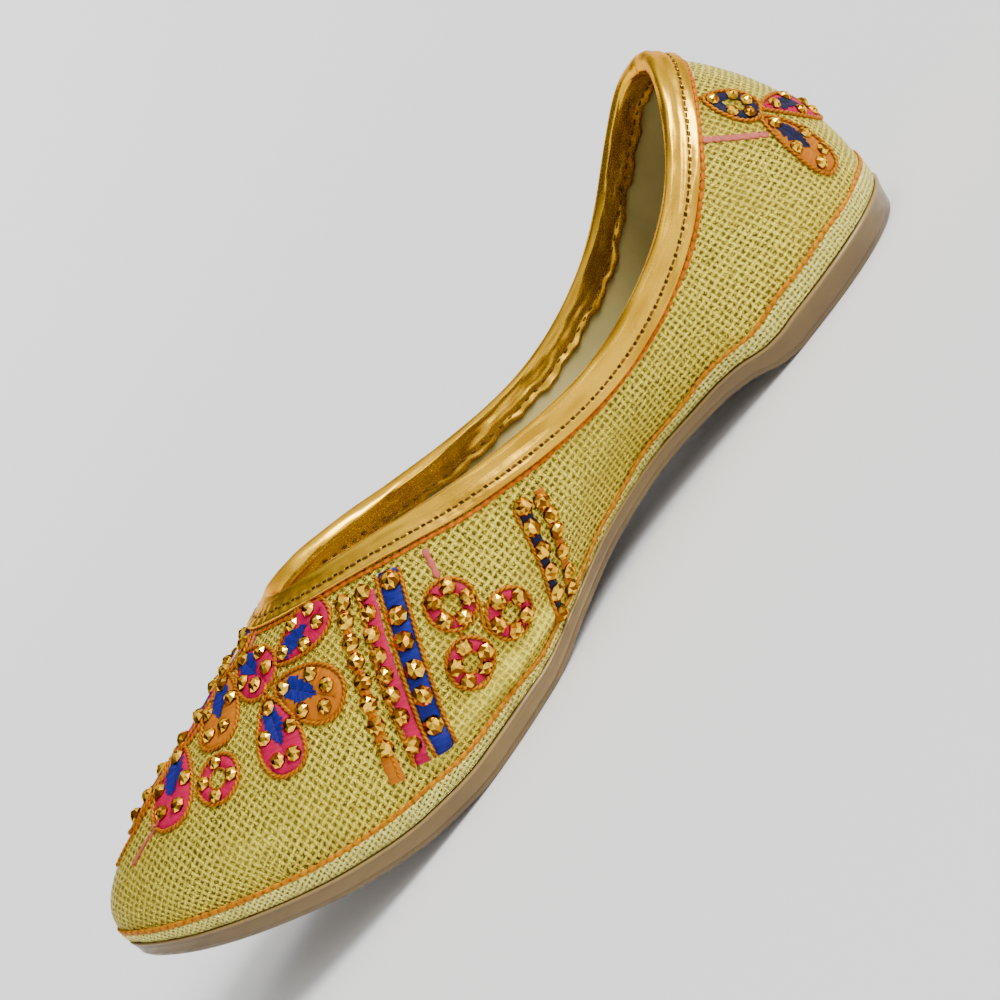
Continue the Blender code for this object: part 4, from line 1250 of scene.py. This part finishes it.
def smooth_line(points, count):
    """A round curve through charted points."""
    lap = np.concatenate([[0], np.cumsum(np.linalg.norm(np.diff(points, axis=0), axis=1))])
    at = np.linspace(0, lap[-1], count)
    if len(points) < 3:
        return np.stack([np.interp(at, lap, points[:, k]) for k in range(points.shape[1])], axis=1)
    out = np.empty((count, points.shape[1]))
    for k in range(points.shape[1]):
        tangent = np.gradient(points[:, k], lap)
        i = np.clip(np.searchsorted(lap, at, side="right") - 1, 0, len(lap) - 2)
        out[:, k] = hermite(lap, points[:, k], tangent, at, i)
    return out


def side_line(line, sign, count=40):
    hits = [ground.side(y, z, sign) for y, z in smooth_line(np.array(line, float), count)]
    return np.array([h[0] for h in hits]), np.array([h[1] for h in hits])


def add_studs(places, sign, radius, lift):
    for y, z in places:
        point, normal = ground.side(y + chance.uniform(-0.15, 0.15), z, sign)
        lay_stud(piles["stud"], point + normal * lift, normal, radius)


# Cords that run from one ring to the next, in (y, z)
LINKS = [
    [(-16.9, 27.1), (-19.0, 25.2), (-20.7, 23.3), (-21.5, 20.5)],
    [(-24.4, 27.1), (-25.4, 26.2), (-25.8, 25.0)],
]


def add_flank(sign):
    lay_cord(piles["cord"], *side_line([(-34.2, 50.2), (-47.0, 35.5), (-58.4, 17.5)], sign), radius=0.5)
    lay_chain(piles["chain"], *side_line([(-36.0, 50.0), (-48.6, 34.8), (-57.6, 22.0)], sign))
    for line, width, fill, cords in STRIPS:
        add_strip(line, sign, width, fill, cords)
    lay_cord(piles["cord"], *side_line([(-31.9, 47.9), (-45.4, 31.6), (-54.4, 16.5)], sign), radius=0.5)
    lay_cord(piles["cord"], *side_line([(3.6, 33.0), (-4.6, 16.6), (-10.6, 7.4)], sign), radius=0.45)
    add_studs(BLUE_STUDS, sign, 2.1, 0.5)
    add_studs(PINK_STUDS, sign, 1.85, 0.35)
    add_studs(GOLD_STUDS, sign, 1.85, 0.3)
    add_studs(NAVY_STUDS, sign, 1.95, 0.4)
    add_studs(AMBER_STUDS, sign, 1.8, 0.4)
    for y, z, spin in ((-21.4, 31.8, 0.2), (-14.9, 19.8, 0.9), (-28.8, 20.3, 0.5)):
        add_ring(ground.side(y, z, sign)[0], "pink", 5.2, 2.7, studs=5, spin=spin, stud_radius=1.8)
    for line in LINKS:
        lay_cord(piles["cord"], *side_line(line, sign, 16), radius=0.42)
    lay_chain(piles["floss"], *side_line([(-15.2, 43.2), (-18.4, 37.2)], sign), width=1.7, height=0.5)


def add_heel(sign):
    def on(x, y, z):
        return ground.near((x * sign, y, z))[0]
    add_petal(on(25.2, 105.6, 52.3), on(25.3, 111.7, 41.2), 8.2, "navy", heart=None, stud_radius=1.4,
              hollow=0.45)
    add_petal(on(24.5, 113.2, 40.5), on(9.5, 124.0, 27.5), 8.0, "pink", heart="navy", stud_radius=1.45)
    add_petal(on(26.8, 110.2, 39.0), on(27.0, 112.1, 19.5), 8.6, "orange", heart="navy", stud_radius=1.5)
    tail = [ground.near(p) for p in smooth_line(np.array([on(24.4, 104.2, 55.4), on(25.2, 105.4, 52.8)]), 6)]
    lay_cord(piles["cord"], np.array([h[0] for h in tail]), np.array([h[1] for h in tail]), 0.45)
    line = [on(31.1, 96.2, 48.1), on(30.7, 101.3, 42.9), on(28.9, 107.6, 36.4)]
    line = smooth_line(np.array(line), 16)
    hits = [ground.near(p) for p in line]
    lay_chain(piles["floss"], np.array([h[0] for h in hits]), np.array([h[1] for h in hits]), 1.9, 0.5)


add_flower()
for flank in (1, -1):
    add_flank(flank)
    add_heel(flank)


def upper_line(distance, proud=0.0, from_top=False):
    s = distance / surface.length[None, :]
    s = 1 - s if from_top else s
    return surface.at(s)[0] + surface.normal(s)[0] * proud, surface.normal(s)[0]


sway = 0.25 * np.sin(rim_along / 3.1) + 0.2 * np.sin(rim_along / 7.7 + 1)
lay_chain(piles["edge"], *upper_line(surface.band + 0.9 + sway, 0.15), closed=True, width=1.5,
          height=0.9)
lay_chain(piles["chain"], *upper_line(binding_width + 0.7 + 0.5 * sway, 0.0, True), closed=True,
          width=1.15, height=0.7)
back = np.linspace(surface.band[0] + 1, surface.length[0] - binding_width[0] - 0.5, 40)
back_shares = np.tile((back / surface.length[0])[:, None], (1, len(ribs)))
lay_chain(piles["edge"], surface.at(back_shares)[:, 0], surface.normal(back_shares)[:, 0])

# Lines sewn on the insole, its edge threads and the seams of the lining
INSOLE_LOOP = [
    (32.8, -23.1), (26.6, -15.4), (20.3, -7.2), (16.0, 1.7), (14.5, 10.5), (14.2, 18.6), (14.2, 27.4),
    (14.9, 37.1), (16.6, 44.0), (18.0, 55.1), (20.9, 67.4), (23.2, 79.8), (23.9, 91.2), (23.0, 98.5),
    (20.0, 104.0), (15.2, 107.9), (9.1, 110.0), (2.6, 110.6), (-3.9, 109.9), (-10.5, 107.9),
    (-16.0, 104.6), (-19.6, 100.9), (-22.0, 96.1), (-22.4, 92.0), (-21.5, 89.4), (-22.6, 84.7),
    (-23.6, 76.5), (-22.8, 70.8), (-20.4, 65.8), (-18.5, 60.0), (-16.9, 53.4), (-15.2, 47.7),
    (-14.5, 42.4), (-13.7, 36.3), (-13.8, 28.9), (-12.5, 27.4), (-11.8, 28.9), (-11.7, 36.3),
    (-12.1, 44.4), (-11.8, 49.3), (-9.8, 56.7), (-9.8, 63.3), (-11.5, 69.1), (-16.0, 75.7),
    (-18.0, 83.0), (-17.4, 91.2), (-16.7, 97.7), (-17.2, 102.6),
]
INSOLE_LINES = [
    # finish, stitch width, points in plan
    ("sole_chain", 1.7, [(23.4, 91.2), (12.3, 90.5), (0.9, 90.0), (-11.3, 89.4), (-21.6, 89.1)]),
    ("sole_chain", 1.1, [(0.2, 89.6), (-0.2, 86.6), (0.2, 84.0)]),
    ("sole_chain", 0.8, [(17.7, 103.4), (15.0, 96.9), (12.4, 92.8), (8.8, 84.7), (5.9, 75.7), (8.8, 69.1),
                         (12.3, 60.0), (14.5, 54.9), (12.4, 42.0)]),
    ("edge", 0.8, [(20.0, 112.0), (24.4, 107.0), (27.4, 100.4), (28.3, 92.8), (28.0, 83.0), (26.4, 73.2),
                   (23.6, 62.5), (21.6, 50.1), (20.8, 42.0), (20.2, 32.3)]),
    ("edge", 0.8, [(20.2, 9.7), (22.0, 6.5), (23.0, 2.5), (24.6, -1.6), (27.4, -4.4)]),
    ("edge", 0.8, [(-17.3, 20.2), (-18.0, 14.6), (-17.5, 9.7), (-18.4, 2.5), (-21.1, -3.2), (-24.5, -9.7)]),
    ("edge", 0.5, [(18.0, 2.0), (5.1, 4.9), (-5.4, 7.3), (-18.3, 11.6)]),
]


def on_insole(line, lift=0.05):
    """Places a plan line on the insole, held inside its edge."""
    feather = inset_line(sole_line(ribs), SOLE_REVEAL + UPPER_WALL + 2 * CLEARANCE + 0.8)
    half = len(ribs) // 2
    out = np.empty((len(line), 3))
    most = np.interp(line[:, 1], feather[half::-1, 1], feather[half::-1, 0])
    least = np.interp(line[:, 1], feather[half:, 1], feather[half:, 0])
    out[:, 0] = np.clip(line[:, 0], least, most)
    out[:, 1] = line[:, 1]
    out[:, 2] = insole_height(out[:, 0], out[:, 1]) + lift
    rise = insole_height(out[:, 0], out[:, 1] + 1) - insole_height(out[:, 0], out[:, 1] - 1)
    return out, unit(np.stack([0 * rise, -rise / 2, 1 + 0 * rise], axis=1))


def add_insole_lines():
    made = {"sole_chain": Pile(), "edge": Pile()}
    loop = smooth_line(np.array(INSOLE_LOOP), 420)
    lay_chain(made["sole_chain"], *on_insole(loop), width=1.5, height=0.7)
    for name, width, line in INSOLE_LINES:
        points, up = on_insole(smooth_line(np.array(line), 60))
        if name == "edge":
            lay_cord(made[name], points, up, radius=width / 2)
        else:
            lay_chain(made[name], points, up, width=width, height=0.6)
    angle = np.linspace(0, 2 * math.pi, 61)[:-1]
    turn = np.stack([np.cos(angle), np.sin(angle)], axis=1)
    for reach, thick in ((2.95, 0.55), (3.75, 0.62), (4.6, 0.55)):
        points, up = on_insole(np.array([0.2, 78.6]) + turn * reach)
        lay_cord(made["sole_chain"], points, up, radius=thick, closed=True)
    made["sole_chain"].make("insole_chain_stitches", CHAIN, "insole")
    made["edge"].make("insole_edge_threads", DARK_THREAD, "insole")


add_insole_lines()


def add_lining_seams():
    pile = Pile()
    inner = surface.normal(lining_shares)
    for offset in (-5.6, 5.0):
        rib = int(round(np.interp(abs(offset), rim_along[:40], np.arange(40)))) * (1 if offset > 0 else -1)
        rows = slice(5, 34)
        points = inside[rows, rib] - inner[rows, rib] * 0.05
        lay_cord(pile, points, -inner[rows, rib], radius=0.3, turn=3.0, lift=0.2)
    pile.make("lining_seams", TAN_THREAD, "upper")


add_lining_seams()


def add_binding_stitches():
    """Short stitches that sink into the binding at both ends."""
    pile = Pile()
    count = int(round(rim_length / STITCH_PITCH))
    for side in (0, 1):
        for k in range(count):
            middle = (k + (0.5 if side else 0.0)) * STITCH_PITCH + STITCH_PITCH / 2
            at = (middle + np.linspace(-0.95, 0.95, 5)) % rim_length
            column = np.interp(at, np.append(rim_along, rim_length), np.arange(len(ribs) + 1)) % len(ribs)
            base, part = column.astype(int), column % 1
            if side:
                row = binding_row(BINDING_INNER_WIDTH * 0.66 + 0 * rim_along, -UPPER_WALL - OVER + 0.1)
                face = -surface.normal(1 - BINDING_INNER_WIDTH * 0.66 / surface.length[None, :])[0]
            else:
                row = STITCH_ROW
                face = STITCH_FACE
            following = (base + 1) % len(ribs)
            points = row[base] * (1 - part[:, None]) + row[following] * part[:, None]
            normals = unit(face[base] * (1 - part[:, None]) + face[following] * part[:, None])
            points = points + normals * np.array([-0.3, 0.02, 0.1, 0.02, -0.3])[:, None]
            lay_cord(pile, points, normals, radius=0.27, sides=6, turn=1.2, lift=0.3)
    pile.make("binding_stitches", BROWN_THREAD, "collar_binding")


STITCH_ROW = binding_row(binding_width * STITCH_LINE / 7, OVER + binding_relief(STITCH_LINE / 7))
STITCH_FACE = surface.normal(1 - (binding_width * STITCH_LINE / 7 / surface.length)[None, :])[0]
add_binding_stitches()

piles["pink"].make("pink_petals", PINK, "upper")
piles["orange"].make("orange_petals", ORANGE, "upper")
piles["blue"].make("blue_petals", BLUE, "upper")
piles["navy"].make("navy_petals", NAVY, "upper")
piles["cord"].make("couched_cords", CORD, "upper")
piles["chain"].make("chain_stitches", CHAIN, "upper")
piles["edge"].make("edge_chain_stitches", EDGE_CHAIN, "upper")
piles["floss"].make("basting_threads", FLOSS, "upper")
piles["stud"].make("gold_studs", BEAD, "upper", smooth=False)

# Floor, light and camera


def add_stage():
    """A pale floor that rises gently far from the shoe."""
    profile = [(1e-5, 0.0), (0.4, 0.0), (1.0, 0.0)]
    profile += [(1.0 + 0.5 * k, 0.055 * (0.5 * k) ** 2) for k in range(1, 15)]
    angle = np.linspace(0, 2 * math.pi, 96, endpoint=False)
    points = [(r * math.cos(a), r * math.sin(a), z) for r, z in profile for a in angle]
    mesh = bpy.data.meshes.new("floor")
    mesh.from_pydata(points, [], grid_faces(len(profile), 96).tolist())
    mesh.shade_smooth()
    floor = bpy.data.objects.new("floor", mesh)
    bpy.context.scene.collection.objects.link(floor)
    pale = Finish("pale_floor", colour=(0.88, 0.88, 0.88), roughness=0.9)
    mesh.materials.append(pale.material)


def add_sun(name, toward, power, spread):
    """Light from a far, wide source; toward is where it stands as seen from the shoe."""
    light = bpy.data.lights.new(name, "SUN")
    light.energy = power
    light.angle = math.radians(spread)
    lamp = bpy.data.objects.new(name, light)
    lamp.location = Vector(toward)
    lamp.rotation_euler = Vector(toward).to_track_quat("Z", "Y").to_euler()
    bpy.context.scene.collection.objects.link(lamp)


def add_world():
    """Soft daylight that is brighter from above and from the camera's side."""
    world = bpy.data.worlds.new("studio")
    world.use_nodes = True
    tree = world.node_tree
    where = tree.nodes.new("ShaderNodeTexCoord")
    facing = tree.nodes.new("ShaderNodeVectorMath")
    facing.operation = "DOT_PRODUCT"
    facing.inputs[1].default_value = (0.34, 0.60, 0.72)
    ramp = tree.nodes.new("ShaderNodeMapRange")
    ramp.interpolation_type = "SMOOTHSTEP"
    for index, value in ((1, -0.1), (2, 0.95), (3, 0.10), (4, 1.30)):
        ramp.inputs[index].default_value = value
    tree.links.new(where.outputs["Generated"], facing.inputs[0])
    tree.links.new(facing.outputs["Value"], ramp.inputs[0])
    tree.links.new(ramp.outputs[0], tree.nodes["Background"].inputs[1])
    tree.nodes["Background"].inputs[0].default_value = (1, 1, 1, 1)
    bpy.context.scene.world = world


def add_camera(azimuth=84.7, elevation=10.5, distance=568.7, roll=51.9, scale=4.25, aim=(1.0, 6.9, 29.7)):
    a, e, r = (math.radians(x) for x in (azimuth, elevation, roll))
    back = Vector((math.sin(a) * math.cos(e), -math.cos(a) * math.cos(e), math.sin(e)))
    right = Vector((0, 0, 1)).cross(back).normalized()
    up = back.cross(right)
    turned = right * math.cos(r) - up * math.sin(r), right * math.sin(r) + up * math.cos(r)
    place = Matrix((*turned, back)).transposed().to_4x4()
    place.translation = (Vector(aim) + back * distance) * MM
    data = bpy.data.cameras.new("camera")
    data.sensor_width = 36
    data.lens = 36 * scale * distance / 1000
    data.clip_start, data.clip_end = 0.01, 50
    camera = bpy.data.objects.new("camera", data)
    camera.matrix_world = place
    bpy.context.scene.collection.objects.link(camera)
    bpy.context.scene.camera = camera


add_stage()
add_sun("key", (0.50, 0.72, 0.58), 5.2, 30)
add_sun("fill", (1.0, 0.45, 0.30), 1.1, 26)
add_world()
add_camera()
